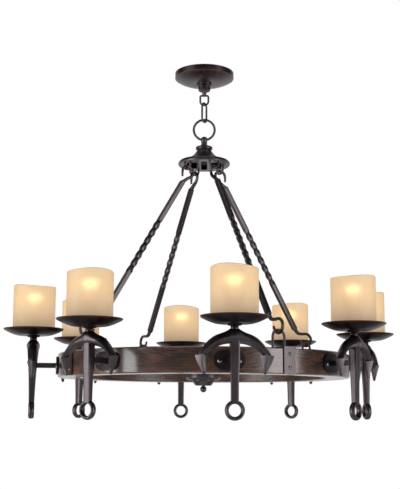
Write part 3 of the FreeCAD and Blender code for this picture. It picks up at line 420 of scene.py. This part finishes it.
def heads_finish():
    """Rubbed steel of the rivets and screws."""
    finish = Finish("rubbed_steel")
    cloud = finish.noise(finish.place(), 3.0, 3.0)
    shade = finish.mix(cloud, (0.10, 0.09, 0.095), (0.30, 0.28, 0.28))
    return finish.done(finish.surface(Base_Color=shade, Roughness=0.22 + cloud * 0.12, Metallic=0.85))


def wood_finish():
    """Stained wood whose grain runs round the rim, under a satin varnish."""
    tint = settings().wood
    finish = Finish("stained_wood")
    # in millimetres: the rim's middle radius, the shifts from felloe to felloe, and the rings' wander
    mean_radius, felloe_shift, ring_shift, ring_sway = 330.0, 910.0, 37.0, 70.0
    x, y, z = finish.axes(finish.place())
    turn = y.math("ARCTAN2", x)
    reach = (x * x + y * y).math("SQRT")
    quarter = (turn / (math.pi / 2)).math("FLOOR")
    along = turn * mean_radius + quarter * felloe_shift
    drift = finish.noise(finish.vector(along * 0.007, z * 0.016, reach * 0.016), 1.0, 2.5)
    across = z + reach * 0.55 + quarter * ring_shift + (drift - 0.5) * ring_sway
    rings = (across * (2 * math.pi / tint.ring_width)).math("SINE") * 0.5 + 0.5
    fibre = finish.noise(finish.vector(along * 0.022, z * 0.8, reach * 0.8), 1.0, 4.0, 0.7)
    patch = finish.noise(finish.vector(along * 0.02, z * 0.05, reach * 0.05), 1.0, 2.0)
    depth = (rings * 0.34 + fibre * 0.85 + (patch - 0.5) * 1.5 - 0.33).clamped()
    shade = finish.mix(depth, tint.dark, tint.pale)
    rough = 0.46 - fibre.between(0.30, 0.42) * 0.14
    relief = finish.bump(fibre * 0.7 + rings * 0.3, 0.35, 0.6)
    return finish.done(finish.surface(Base_Color=shade, Roughness=rough, Coat_Weight=0.7,
                                      Coat_Roughness=0.19, Coat_IOR=1.75, Normal=relief))


def glass_finish(light):
    """Cream-amber glass with a painted glow for the lamp's light through it, brightest in a band round the
    lamp, and painted shade towards its foot and where it is seen edge-on.
    """
    tint = settings().glass
    finish = Finish(f"lit_glass_{light.number}")
    place = finish.place()
    x, y, z = finish.axes(place)
    own_x, own_y = x - light.reach * math.cos(light.angle), y - light.reach * math.sin(light.angle)
    streak = finish.noise(finish.vector(own_x, own_y, z), 30.0, 3.0)
    # in millimetres: heights above the foot and above the lamp's middle, and how far the glow reaches
    foot_low, foot_high, glow_lift, glow_reach = -4, 72, 14, 42.0
    # painted shade: the glass's emitted colour darkens towards its foot
    foot = (1 - z.between(light.bottom + foot_low, light.bottom + foot_high)) ** 1.6
    # painted glow: a brighter band round the lamp's height
    glow = (1 - ((z - LAMP_Z - glow_lift) / glow_reach).math("ABSOLUTE")).clamped() ** 1.5
    lit = finish.mix((foot + (streak - 0.5) * 0.22).clamped(), tint.body, tint.foot)
    lit = finish.mix(glow * 0.5, lit, tint.glow)
    pigment = finish.mix(0.6, lit, (0.0, 0.0, 0.0))
    # the emission is a painted glow standing in for the lamp's light through the glass
    body = finish.surface(Base_Color=pigment, Roughness=0.45, Emission_Color=lit, Emission_Strength=0.80,
                          Specular_IOR_Level=0.2)
    clear = finish.surface(Base_Color=(1.0, 0.86, 0.64), Roughness=0.60, Transmission_Weight=1.0, IOR=1.25)
    # painted shade: a dimmer glow that takes over where the glass is seen edge-on
    grazing_glow = finish.surface(Base_Color=(0.10, 0.06, 0.03), Roughness=0.6, Emission_Color=(0.55, 0.37, 0.22),
                           Emission_Strength=0.8, Specular_IOR_Level=0.2)
    slant = finish.node("ShaderNodeLayerWeight", {"Blend": 0.5}, "Facing") ** 3
    return finish.done(finish.blend(slant * 0.85, finish.blend(0.28, body, clear), grazing_glow))


def rim_finish():
    """The cut edge of the glass: a painted glow dimmer than its side's, so that the rim shows as a painted
    shade.
    """
    finish = Finish("glass_edge")
    edge = settings().glass.edge
    return finish.done(finish.surface(Base_Color=(0.16, 0.11, 0.07), Roughness=0.5, Emission_Color=edge,
                                      Emission_Strength=0.8))


def lamp_finish():
    """Frosted lamp, lit, and brightest in the upper half of its bulb."""
    finish = Finish("lit_lamp")
    height = finish.axes(finish.place())[2]
    # in millimetres: how far above the lamp's middle it is hottest, and how far that reaches
    heat_lift, heat_reach = 16, 17.0
    heat = (1 - ((height - LAMP_Z - heat_lift) / heat_reach).math("ABSOLUTE")).clamped()
    tint = finish.mix(heat, (0.10, 0.06, 0.025), settings().glass.lamp)
    return finish.done(finish.surface(Base_Color=(0.8, 0.75, 0.65), Roughness=0.4, Emission_Color=tint,
                                      Emission_Strength=12.0))


def holder_finish():
    """Cream moulding of the lampholders."""
    finish = Finish("cream_moulding")
    cloud = finish.noise(finish.place(), 12.0, 3.0)
    shade = finish.mix(cloud, (0.62, 0.55, 0.42), (0.72, 0.66, 0.53))
    return finish.done(finish.surface(Base_Color=shade, Roughness=0.45))


# ---------------------------------------------------------------- mesh making


def lathe(outline, steps):
    """Turns an outline of (radius, height) points, in millimetres, about Z."""
    bm = bmesh.new()
    verts = [bm.verts.new((radius * MM, 0, height * MM)) for radius, height in outline]
    edges = [bm.edges.new(pair) for pair in zip(verts, verts[1:])]
    bmesh.ops.spin(bm, geom=verts + edges, cent=(0, 0, 0), axis=(0, 0, 1), angle=2 * math.pi, steps=steps,
                   use_merge=True)
    bmesh.ops.remove_doubles(bm, verts=bm.verts, dist=1e-6)
    bmesh.ops.recalc_face_normals(bm, faces=bm.faces)
    return bm


class Station:
    """A place along a drawn bar: where it is, its half sizes and how square it is."""

    def __init__(self, place, across, along, half_width, half_depth, squareness, turn=0.0):
        normal = along.cross(across).normalized()
        side = across.normalized()
        self.place = place
        self.side = side * math.cos(turn) + normal * math.sin(turn)
        self.normal = normal * math.cos(turn) - side * math.sin(turn)
        self.half_width = half_width
        self.half_depth = half_depth
        self.squareness = squareness

    def point(self, angle):
        """A point of the section: an ellipse at squareness 2, a diamond at 1, nearly a square at 9."""
        c, s = math.cos(angle), math.sin(angle)
        reach = (abs(c) ** self.squareness + abs(s) ** self.squareness) ** (-1 / self.squareness)
        across, deep = c * reach * self.half_width, s * reach * self.half_depth
        return (self.place + self.side * across + self.normal * deep) * MM


def drawn_bar(stations, sides=16):
    """A bar of changing section, extruded ring by ring through its stations."""
    bm = bmesh.new()
    turn = bm.verts.layers.float.new("turn")
    ring = bmesh.ops.create_circle(bm, cap_ends=False, segments=sides, radius=1.0)["verts"]
    for vert in ring:
        vert[turn] = math.atan2(vert.co.y, vert.co.x)
    edges = list(bm.edges)
    for index, station in enumerate(stations):
        if index:
            made = bmesh.ops.extrude_edge_only(bm, edges=edges)["geom"]
            ring = [item for item in made if isinstance(item, bmesh.types.BMVert)]
            fresh = set(ring)
            edges = [item for item in made if isinstance(item, bmesh.types.BMEdge)
                     and item.verts[0] in fresh and item.verts[1] in fresh]
        for vert in ring:
            vert.co = station.point(vert[turn])
    bmesh.ops.holes_fill(bm, edges=bm.edges, sides=0)
    bmesh.ops.recalc_face_normals(bm, faces=bm.faces)
    return bm


def join(target, *others):
    """Adds the other meshes to the target and frees them."""
    for other in others:
        spare = bpy.data.meshes.new("spare")
        other.to_mesh(spare)
        other.free()
        target.from_mesh(spare)
        bpy.data.meshes.remove(spare)
    return target


def spline(points, steps):
    """A smooth curve through points, with the given steps between each two."""
    padded = [points[0] * 2 - points[1], *points, points[-1] * 2 - points[-2]]
    path = []
    for index in range(len(points) - 1):
        a, b, c, d = padded[index:index + 4]
        for step in range(steps):
            t = step / steps
            path.append(0.5 * (2 * b + (c - a) * t + (2 * a - 5 * b + 4 * c - d) * t * t
                               + (3 * b - 3 * c + d - a) * t ** 3))
    return path + [points[-1]]


def directions(path):
    """The direction of travel at each point of a path."""
    last = len(path) - 1
    return [(path[min(index + 1, last)] - path[max(index - 1, 0)]).normalized()
            for index in range(last + 1)]


def finish_piece(name, bm, material, body, nodes, matrix, sharp=35.0):
    """Makes the object, puts its place in its mesh, hangs it on its body and hides the frame nodes it
    stands for.
    """
    bmesh.ops.transform(bm, matrix=matrix, verts=bm.verts)
    mesh = bpy.data.meshes.new(name)
    bm.to_mesh(mesh)
    bm.free()
    mesh.shade_smooth()
    mesh.set_sharp_from_angle(angle=math.radians(sharp))
    mesh.materials.append(material)
    piece = bpy.data.objects.new(name, mesh)
    bpy.context.scene.collection.objects.link(piece)
    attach(piece, body)
    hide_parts(*nodes)
    return piece


def dress_node(node, material, weld=0.02, split=32.0):
    """Gives a frame node its finish, and smooths its shading without moving it."""
    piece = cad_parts[node]
    piece.data.materials.clear()
    piece.data.materials.append(material)
    piece.data.polygons.foreach_set("use_smooth", [True] * len(piece.data.polygons))
    join_up = piece.modifiers.new("weld", "WELD")
    join_up.merge_threshold = weld * MM
    crisp = piece.modifiers.new("edges", "EDGE_SPLIT")
    crisp.split_angle = math.radians(split)


# ---------------------------------------------------------------- lights


def shade_mesh(light):
    """A thick glass cylinder with a hole in its foot and a gently wavy rim."""
    glass = settings().glass
    radius, wall, low, high = light.radius, glass.wall, light.bottom, light.top - glass.wave - 1
    inner, hole, rim_start = radius - wall, glass.hole, high - 1.2
    outline = [(hole, low), (radius - 6, low), (radius - 3, low + 0.8), (radius - 0.8, low + 3),
               (radius, low + 6)]
    outline += [(radius, low + 6 + (high - 8 - low) * share / 12) for share in range(1, 13)]
    outline += [(radius - 0.4, high - 0.9), (radius - 1.4, high), (inner + 1.4, high),
                (inner + 0.4, high - 0.9), (inner, high - 2), (inner, low + 8), (inner - 2.6, low + wall),
                (hole, low + wall), (hole, low)]
    bm = lathe(outline, glass.steps)
    # the rim's faces take the edge finish's dimmer painted glow
    for face in bm.faces:
        if face.calc_center_median().z > rim_start * MM:
            face.material_index = 1
    front = math.radians(settings().stage.azimuth - 90 + WAVE_TURNS[light.number - 1]) - light.angle
    for vert in bm.verts:
        turn = math.atan2(vert.co.y, vert.co.x) - front
        saddle, tilt = math.cos(2 * turn + 0.87) * 0.6, math.cos(turn + 1.05) * 0.4
        share = max(0.0, (vert.co.z / MM - (high - glass.wave_depth)) / glass.wave_depth)
        vert.co.z += glass.wave * (saddle + tilt) * share * MM
    return bm


def build_shades():
    rim = rim_finish()
    for light in LIGHTS:
        shade = finish_piece(f"lit_shade_{light.number}", shade_mesh(light), glass_finish(light), WHEEL,
                             [f"glass_shade_{light.number}"], light.place())
        shade.data.materials.append(rim)


def build_lamps():
    glow, moulding, plate = lamp_finish(), holder_finish(), steel_finish()
    for light in LIGHTS:
        dress_node(f"bulb_{light.number}", glow)
    dress_node("lampholders", moulding)
    for node in ("socket_rings", "socket_nipples", "mounting_crossbar", "canopy_stem", "stem_locknut",
                 "crown_nut"):
        dress_node(node, plate)


def pan_mesh(top, seat):
    """A shallow spun bowl with a rolled lip and a seat under its floor."""
    pan = settings().pans
    wall, start, radius, boss = pan.wall, pan.floor_radius, pan.radius, pan.boss
    floor = seat + pan.floor_lift

    def bowl(level, reach, rise, shares):
        """The side of the bowl, from the edge of its floor to its lip."""
        return [(start + reach * share / 8, level + rise * (share / 8) ** 1.5) for share in shares]

    outline = [(pan.bore, seat), (boss - 2.8, seat), (boss - 1.6, seat + 0.6), (boss, floor - wall),
               (start, floor - wall)]
    outline += bowl(floor - wall, radius - start - 2.0, pan.rise + 0.2, range(1, 9))
    outline += [(radius - 0.8, top - 2.2), (radius, top - 1.2), (radius - 0.5, top - 0.2),
                (radius - 1.6, top), (radius - 3.0, top - 0.8)]
    outline += bowl(floor, radius - start - 3.5, pan.rise, range(8, 0, -1))
    outline += [(start, floor), (pan.bore, floor), (pan.bore, seat)]
    return lathe(outline, pan.steps)


def build_pans():
    low, high = corners("drip_pans")
    finish = iron_finish("rubbed_iron", high.z, spread=4.5, gloss=1.25)
    for light in LIGHTS:
        finish_piece(f"rubbed_pan_{light.number}", pan_mesh(high.z, low.z), finish, WHEEL,
                     ["drip_pans"], light.place())


# ---------------------------------------------------------------- hanger rods


def on_circle(centre, radius, angle):
    """A point of a circle in the XZ plane, at an angle in degrees."""
    turn = math.radians(angle)
    return Vector((centre.x + radius * math.cos(turn), 0, centre.z + radius * math.sin(turn)))


def rod_stations():
    """Upper hook, plain bar, twist, plain bar and lower hook, in the XZ plane."""
    rod = settings().rods
    top = Vector((rod.top_radius, 0, -rod.top_drop))
    bottom = Vector((rod.bottom_radius, 0, -rod.bottom_drop))
    down = (bottom - top).normalized()
    length = (bottom - top).length
    side = Vector((0, 1, 0))
    reach = rod.seat + rod.hook / 2

    loop_low, loop_high = corners("crown_loops")
    centre = Vector((loop_high.x - CROWN_WIRE / 2, 0, loop_low.z + CROWN_WIRE + reach - rod.upper_bend))
    upper = [centre + Vector((rod.upper_bend, 0, -12))]
    upper += [on_circle(centre, rod.upper_bend, angle) for angle in range(0, 181, 30)]
    upper += [top + Vector((-24, 0, 15)), top + Vector((-12, 0, 7.5)), top + down * 3]

    loop_high = corners("rim_loops")[1]
    centre = Vector((loop_high.x - RIM_WIRE / 2, 0, loop_high.z - RIM_WIRE - reach + rod.lower_bend))
    lower = [bottom - down * 3, bottom + Vector((8, 0, -8)), bottom + Vector((19, 0, -10.5))]
    lower += [on_circle(centre, rod.lower_bend, angle) for angle in range(90, -151, -30)]
    lower.append(lower[-1] + Vector((-rod.lower_bend / 3, 0, rod.lower_bend / 2)))

    def section(place, width, squareness, turn=0.0, along=down):
        return Station(place, side, along, width / 2, width / 2, squareness, turn)

    def hook(path, shares, turn=0.0):
        """Sections along a hook, whose share is 0 at its tip and 1 at the bar's square shoulder."""
        sections = []
        for place, along, share in zip(path, directions(path), shares):
            neck = min(1.0, max(0.0, (share - 0.75) / 0.25))
            width = rod.tip + (rod.hook - rod.tip) * min(1.0, share / 0.2) + 1.6 * neck
            sections.append(section(place, width, 2.2 + 2 * neck, turn, along))
        return sections

    # distance from the bar's end, width and squareness
    shoulder = ((1.2, rod.hook + 2.4, 6), (1.3, rod.square - 1.6, 9), (2.2, rod.square, 9))
    path = spline(upper, 5)
    last = len(path) - 1
    stations = hook(path[:-2], [index / last for index in range(last - 1)])
    stations += [section(top + down * lift, width, squareness) for lift, width, squareness in shoulder]
    plain, twist = rod.plain_share * length, rod.twist_share * length
    steps = rod.quarter_turns * 8
    stations.append(section(top + down * (plain - 3), rod.square, 9))
    for step in range(steps + 1):
        turn = math.pi / 2 * rod.quarter_turns * step / steps
        stations.append(section(top + down * (plain + twist * step / steps), rod.square, 9, turn))
    quarter = math.pi / 2 * rod.quarter_turns
    stations.append(section(top + down * (plain + twist + 3), rod.square, 9, quarter))
    stations += [section(bottom - down * lift, width, squareness, quarter)
                 for lift, width, squareness in reversed(shoulder)]
    path = spline(lower, 5)
    last = len(path) - 1
    return stations + hook(path[2:], [(last - index) / last for index in range(2, last + 1)], quarter)


def build_rods():
    finish = iron_finish("forged_iron")
    for number, turn in enumerate(ROD_TURNS, start=1):
        finish_piece(f"twisted_rod_{number}", drawn_bar(rod_stations(), 24), finish, WHEEL,
                     [f"hanger_rod_{number}"], Matrix.Rotation(turn, 4, "Z"), sharp=40)


# ---------------------------------------------------------------- anchors


def anchor_arm_stations(crown):
    """Both arms in one sweep, from one fluke's tip over the crown to the other's."""
    size = settings().anchors
    centre = Vector((0, 0, crown - size.thickness / 2 - size.sweep))
    depth_axis, down = Vector((0, 1, 0)), Vector((0, 0, -1))
    half, steps = [], 28
    for step in range(steps + 1):
        share = step / steps
        angle = math.radians(90 - size.reach * share)
        outward = Vector((math.cos(angle), 0, math.sin(angle)))
        along = Vector((math.sin(angle), 0, -math.cos(angle)))
        bulge = size.bulge * math.sin(math.pi * min(1.0, share / 0.85)) ** 2
        radius = size.sweep + (size.end_sweep - size.sweep) * share ** 1.5 + bulge / 2
        flare = size.flare * min(1.0, max(0.0, (0.38 - share) / 0.30)) ** 2.4
        thickness = size.thickness * (1 - share) + size.end_thickness * share + bulge
        depth = size.depth * (1 - share) + size.end_depth * share
        roundness = 1.25 + 0.65 * (1 - share) ** 2
        half.append((centre + outward * (radius + flare / 2), along, thickness + flare, depth, roundness))
    end = half.pop()[0] + Vector((-1.5, 0, 0))
    length = size.fluke_length
    for drop, inward, width, depth, squareness in (
            (-3.0, 0, 17.0, 20.5, 1.3), (-0.6, 0, 19.0, 21.5, 1.25), (-0.8, 0, size.fluke_width, 24.0, 1.1),
            (1.2, 0, size.fluke_width - 1.0, 23.6, 1.1), (8, 0.6, 26.0, 20.0, 1.1),
            (16, 1.6, 21.5, 16.0, 1.15), (24, 2.9, 16.0, 12.0, 1.2), (30, 4.0, 11.5, 9.0, 1.4),
            (length - 3.5, 4.6, 8.5, 7.0, 1.7), (length - 1.0, 4.8, 5.5, 4.5, 2.0),
            (length, 4.9, 1.6, 1.4, 2.0)):
        half.append((end + down * drop - Vector((inward, 0, 0)), down, width, depth, squareness))
    right = [Station(place, depth_axis, along, depth / 2, thickness / 2, squareness)
             for place, along, thickness, depth, squareness in half]
    left = [Station(Vector((-place.x, 0, place.z)), depth_axis, Vector((along.x, 0, -along.z)), depth / 2,
                    thickness / 2, squareness)
            for place, along, thickness, depth, squareness in reversed(half[1:])]
    return left + right


def anchor_shank(top, arm, end):
    """Tapering bar with its corners taken off, and a flat seat where the wheel's arm meets it."""
    size = settings().anchors
    down, across = Vector((0, 0, -1)), Vector((1, 0, 0))
    # height, width and depth
    places = [(top, size.shank_width, 22.0), (arm + 9, size.shank_width, 20.0),
              (arm - 9, size.shank_width, 20.0), (arm - 20, size.shank_width - 2.0, 18.4),
              (arm - 35, 16.5, 17.0), ((arm - 35 + end) / 2, 16.0, 14.8), (end, size.shank_end, 13.5)]
    return drawn_bar([Station(Vector((0, 0, z)), across, down, width / 2, depth / 2, 7.0)
                      for z, width, depth in places], 32)


def anchor_neck(seat, crown):
    """Round seat under the pan, running down into the arms."""
    down, across = Vector((0, 0, -1)), Vector((1, 0, 0))
    # height and radius
    places = [(seat, 7.9), (seat - 0.7, 8.5), (crown + 8, 8.5), (crown + 5, 8.9), (crown + 2, 9.8),
              (crown - 2, 11.5), (crown - 10, 13.0)]
    return drawn_bar([Station(Vector((0, 0, z)), across, down, radius, radius, 2.0)
                      for z, radius in places], 32)


def anchor_mesh():
    """Arms, shank, neck and ring of one casting, on the Z axis."""
    size = settings().anchors
    low, high = corners("anchor_1")
    crown = high.z - size.drop
    hole, outer = size.hole, size.ring
    ring_z = low.z + outer
    arms = drawn_bar(anchor_arm_stations(crown), 24)
    shank = anchor_shank(crown - 12, middle_height("arm_tubes"), ring_z + hole + 2)
    neck = anchor_neck(high.z, crown)
    side = [(hole, -2.4), (hole + 0.7, -4.8), (hole + 2.2, -6.6), (hole + 4.2, -7.0), (outer - 2.4, -6.3),
            (outer - 0.7, -4.4), (outer, -2.2)]
    other_side = [(radius, -depth) for radius, depth in reversed(side)]
    ring = lathe(side + other_side + side[:1], 56)
    turned = Matrix.Translation((0, 0, ring_z * MM)) @ Matrix.Rotation(math.pi / 2, 4, "X")
    bmesh.ops.transform(ring, matrix=turned, verts=ring.verts)
    return join(arms, shank, ring, neck)


def build_anchors():
    finish = iron_finish("cast_iron")
    for light in LIGHTS:
        finish_piece(f"cast_anchor_{light.number}", anchor_mesh(), finish, WHEEL,
                     [f"anchor_{light.number}"], light.place(math.pi / 2), sharp=42)


# ---------------------------------------------------------------- frame nodes that keep their shape


def build_wheel():
    wood, iron, heads = wood_finish(), iron_finish("strap_iron"), heads_finish()
    dull = iron_finish("plate_iron", matt=0.12, gloss=1.4)
    for number in range(1, 5):
        dress_node(f"rim_felloe_{number}", wood)
    dress_node("arm_plates", dull)
    for node in ("rim_straps", "arm_tubes", "hub_body", "hub_cap", "hub_finial"):
        dress_node(node, iron)
    for node in ("strap_rivets", "arm_plate_screws"):
        dress_node(node, heads)
    build_rim_loops(iron)


def build_rim_loops(iron):
    """Round-topped staples on the rim, one under each rod."""
    loop = settings().loops
    low, high = corners("rim_loops")
    half, foot = loop.half_width, low.z + loop.foot
    reach = high.x - RIM_WIRE / 2
    spring = high.z - RIM_WIRE / 2 - half
    turns = [math.radians(angle) for angle in range(0, 181, 20)]
    arch = [Vector((0, -half, low.z)), Vector((0, -half, foot))]
    arch += [Vector((0, -half * math.cos(turn), spring + half * math.sin(turn))) for turn in turns]
    arch += [Vector((0, half, foot)), Vector((0, half, low.z))]
    path = spline(arch, 4)
    across = Vector((1, 0, 0))
    for number, turn in enumerate(ROD_TURNS, start=1):
        stations = [Station(place, across, along, RIM_WIRE / 2, RIM_WIRE / 2, 2.0)
                    for place, along in zip(path, directions(path))]
        where = Matrix.Rotation(turn, 4, "Z") @ Matrix.Translation((reach * MM, 0, 0))
        finish_piece(f"round_loop_{number}", drawn_bar(stations), iron, WHEEL,
                     ["rim_loops"], where)


def build_crown():
    iron = iron_finish("crown_iron", relief=0.25)
    wire = iron_finish("wire_iron", matt=0.20, gloss=2.0, relief=0.5)
    # the red-brown band 14 mm below the canopy's top is a painted highlight along the edge between its band
    # and its dome
    canopy = iron_finish("canopy_iron", corners("ceiling_canopy")[1].z - 14.0, 1.8, relief=0.5)
    for node in ("canopy_collar", "crown_bell", "crown_plate"):
        dress_node(node, iron)
    for node in ("canopy_loop", "chain_link", "suspension_ring", "crown_eye", "crown_loops"):
        dress_node(node, wire)
    dress_node("ceiling_canopy", canopy)


# ---------------------------------------------------------------- stage


def floor_finish():
    """Pale floor with a faint shadow, which fades into the white room and is white where it is mirrored."""
    finish = Finish("pale_floor")
    x, y = finish.axes(finish.place())[:2]
    reach = (x * x + y * y).math("SQRT") * MM
    seen = (finish.ray("Camera") + finish.ray("Transmission")) * (reach.between(2.0, 9.0) * 0.2 + 0.8)
    mirrored = finish.ray("Glossy") * (reach.between(1.8, 4.0) * 0.8)
    plain = finish.surface(Base_Color=(0.86, 0.86, 0.86), Roughness=0.9)
    white = finish.node("ShaderNodeEmission", {"Strength": 1.0})
    return finish.done(finish.blend((seen + mirrored).clamped(), plain, white))


def build_floor():
    stage = settings().stage
    bm = bmesh.new()
    bmesh.ops.create_grid(bm, x_segments=1, y_segments=1, size=stage.floor_size)
    bmesh.ops.translate(bm, verts=bm.verts, vec=(0, 0, stage.floor))
    mesh = bpy.data.meshes.new("floor")
    bm.to_mesh(mesh)
    bm.free()
    mesh.materials.append(floor_finish())
    floor = bpy.data.objects.new("floor", mesh)
    bpy.context.scene.collection.objects.link(floor)


def build_world():
    """White where it is seen; a dim room with a bright wall behind the wheel where it is mirrored."""
    stage = settings().stage
    turn = math.radians(stage.azimuth)
    ahead = Vector((-math.sin(turn), math.cos(turn), -0.1)).normalized()
    world = bpy.data.worlds.new("studio")
    bpy.context.scene.world = world
    room = Nodes(world)
    view = room.node("ShaderNodeTexCoord", output="Generated")
    facing = room.node("ShaderNodeVectorMath", {0: view, 1: ahead}, "Value", operation="DOT_PRODUCT")
    wall = facing.between(0.45, 0.90)
    seen = (room.ray("Camera") + room.ray("Transmission")).clamped()
    strength = (stage.fill + seen + room.ray("Glossy") * (wall * 0.80)).math("MINIMUM", 1.0)
    light = room.node("ShaderNodeBackground", {"Color": (1, 1, 1), "Strength": strength})
    room.node("ShaderNodeOutputWorld", {"Surface": light})


# name, degrees round from the camera, height, distance from the axis, width, tallness and watts
LAMPS = (
    ("left_box", -62, -0.7, 2.6, 1.4, 2.6, 50),
    ("right_box", 57, -0.6, 2.8, 1.4, 2.4, 40),
    ("top_box", 0, 1.9, 0.3, 2.4, 1.6, 11),
    ("low_box", 0, -2.3, 0.1, 1.2, 1.2, 2),
)


def area_lamp(name, azimuth, height, distance, width, tall, watts):
    """A soft lamp, so many degrees round from the camera, aimed at the middle of the fixture."""
    turn = math.radians(settings().stage.azimuth + azimuth)
    data = bpy.data.lights.new(name, "AREA")
    data.shape = "RECTANGLE"
    data.size, data.size_y = width, tall
    data.energy = watts
    lamp = bpy.data.objects.new(name, data)
    bpy.context.scene.collection.objects.link(lamp)
    lamp.location = (distance * math.sin(turn), -distance * math.cos(turn), height)
    aim = Vector((0, 0, -0.6)) - lamp.location
    lamp.rotation_euler = aim.to_track_quat("-Z", "Y").to_euler()


def build_camera():
    stage = settings().stage
    turn = math.radians(stage.azimuth)
    data = bpy.data.cameras.new("camera")
    data.lens = stage.lens
    data.sensor_width = 36
    camera = bpy.data.objects.new("camera", data)
    bpy.context.scene.collection.objects.link(camera)
    camera.location = (stage.distance * math.sin(turn), -stage.distance * math.cos(turn), stage.height)
    aim = Matrix.Rotation(turn + math.radians(stage.aside), 3, "Z")
    aim = aim @ Matrix.Rotation(math.radians(90 + stage.pitch), 3, "X")
    aim = aim @ Matrix.Rotation(math.radians(stage.roll), 3, "Z")
    camera.rotation_euler = aim.to_euler()
    bpy.context.scene.camera = camera


def build_stage():
    build_floor()
    build_world()
    for lamp in LAMPS:
        area_lamp(*lamp)
    build_camera()
    bpy.context.scene.view_settings.view_transform = "Standard"


# ---------------------------------------------------------------- operators


class CHANDELIER_OT_shades(bpy.types.Operator):
    """Build the eight lit glass cylinders"""

    bl_idname = "chandelier.shades"
    bl_label = "Glass shades"

    def execute(self, context):
        build_shades()
        return {"FINISHED"}


class CHANDELIER_OT_lamps(bpy.types.Operator):
    """Finish the lamps, their holders and the plated fittings"""

    bl_idname = "chandelier.lamps"
    bl_label = "Lamps and fittings"

    def execute(self, context):
        build_lamps()
        return {"FINISHED"}


class CHANDELIER_OT_pans(bpy.types.Operator):
    """Build the eight drip pans"""

    bl_idname = "chandelier.pans"
    bl_label = "Drip pans"

    def execute(self, context):
        build_pans()
        return {"FINISHED"}


class CHANDELIER_OT_rods(bpy.types.Operator):
    """Build the four twisted hanger rods"""

    bl_idname = "chandelier.rods"
    bl_label = "Hanger rods"

    def execute(self, context):
        build_rods()
        return {"FINISHED"}


class CHANDELIER_OT_anchors(bpy.types.Operator):
    """Build the eight anchor castings"""

    bl_idname = "chandelier.anchors"
    bl_label = "Anchors"

    def execute(self, context):
        build_anchors()
        return {"FINISHED"}


class CHANDELIER_OT_wheel(bpy.types.Operator):
    """Finish the wooden rim, its straps, arms and hub"""

    bl_idname = "chandelier.wheel"
    bl_label = "Wheel"

    def execute(self, context):
        build_wheel()
        return {"FINISHED"}


class CHANDELIER_OT_crown(bpy.types.Operator):
    """Finish the canopy, link, ring and crown"""

    bl_idname = "chandelier.crown"
    bl_label = "Canopy and crown"

    def execute(self, context):
        build_crown()
        return {"FINISHED"}


class CHANDELIER_OT_stage(bpy.types.Operator):
    """Add the floor, lamps, world and camera"""

    bl_idname = "chandelier.stage"
    bl_label = "Stage"

    def execute(self, context):
        build_stage()
        return {"FINISHED"}


OPERATORS = (CHANDELIER_OT_shades, CHANDELIER_OT_lamps, CHANDELIER_OT_pans, CHANDELIER_OT_rods,
             CHANDELIER_OT_anchors, CHANDELIER_OT_wheel, CHANDELIER_OT_crown, CHANDELIER_OT_stage)


class CHANDELIER_PT_panel(bpy.types.Panel):
    """Lists the chandelier's pieces in the order they are made"""

    bl_idname = "CHANDELIER_PT_panel"
    bl_label = "Chandelier"
    bl_space_type = "VIEW_3D"
    bl_region_type = "UI"
    bl_category = "Chandelier"

    def draw(self, context):
        for operator in OPERATORS:
            self.layout.operator(operator.bl_idname)


GROUPS = (IronSettings, WoodSettings, GlassSettings, PanSettings, RodSettings, AnchorSettings, LoopSettings,
          StageSettings, ChandelierSettings)
CLASSES = (*GROUPS, *OPERATORS, CHANDELIER_PT_panel)


def register():
    for item in CLASSES:
        bpy.utils.register_class(item)
    bpy.types.Scene.chandelier = PointerProperty(type=ChandelierSettings)


def unregister():
    del bpy.types.Scene.chandelier
    for item in reversed(CLASSES):
        bpy.utils.unregister_class(item)


def main():
    register()
    bpy.ops.chandelier.shades()
    bpy.ops.chandelier.lamps()
    bpy.ops.chandelier.pans()
    bpy.ops.chandelier.rods()
    bpy.ops.chandelier.anchors()
    bpy.ops.chandelier.wheel()
    bpy.ops.chandelier.crown()
    bpy.ops.chandelier.stage()


if __name__ == "__main__":
    main()
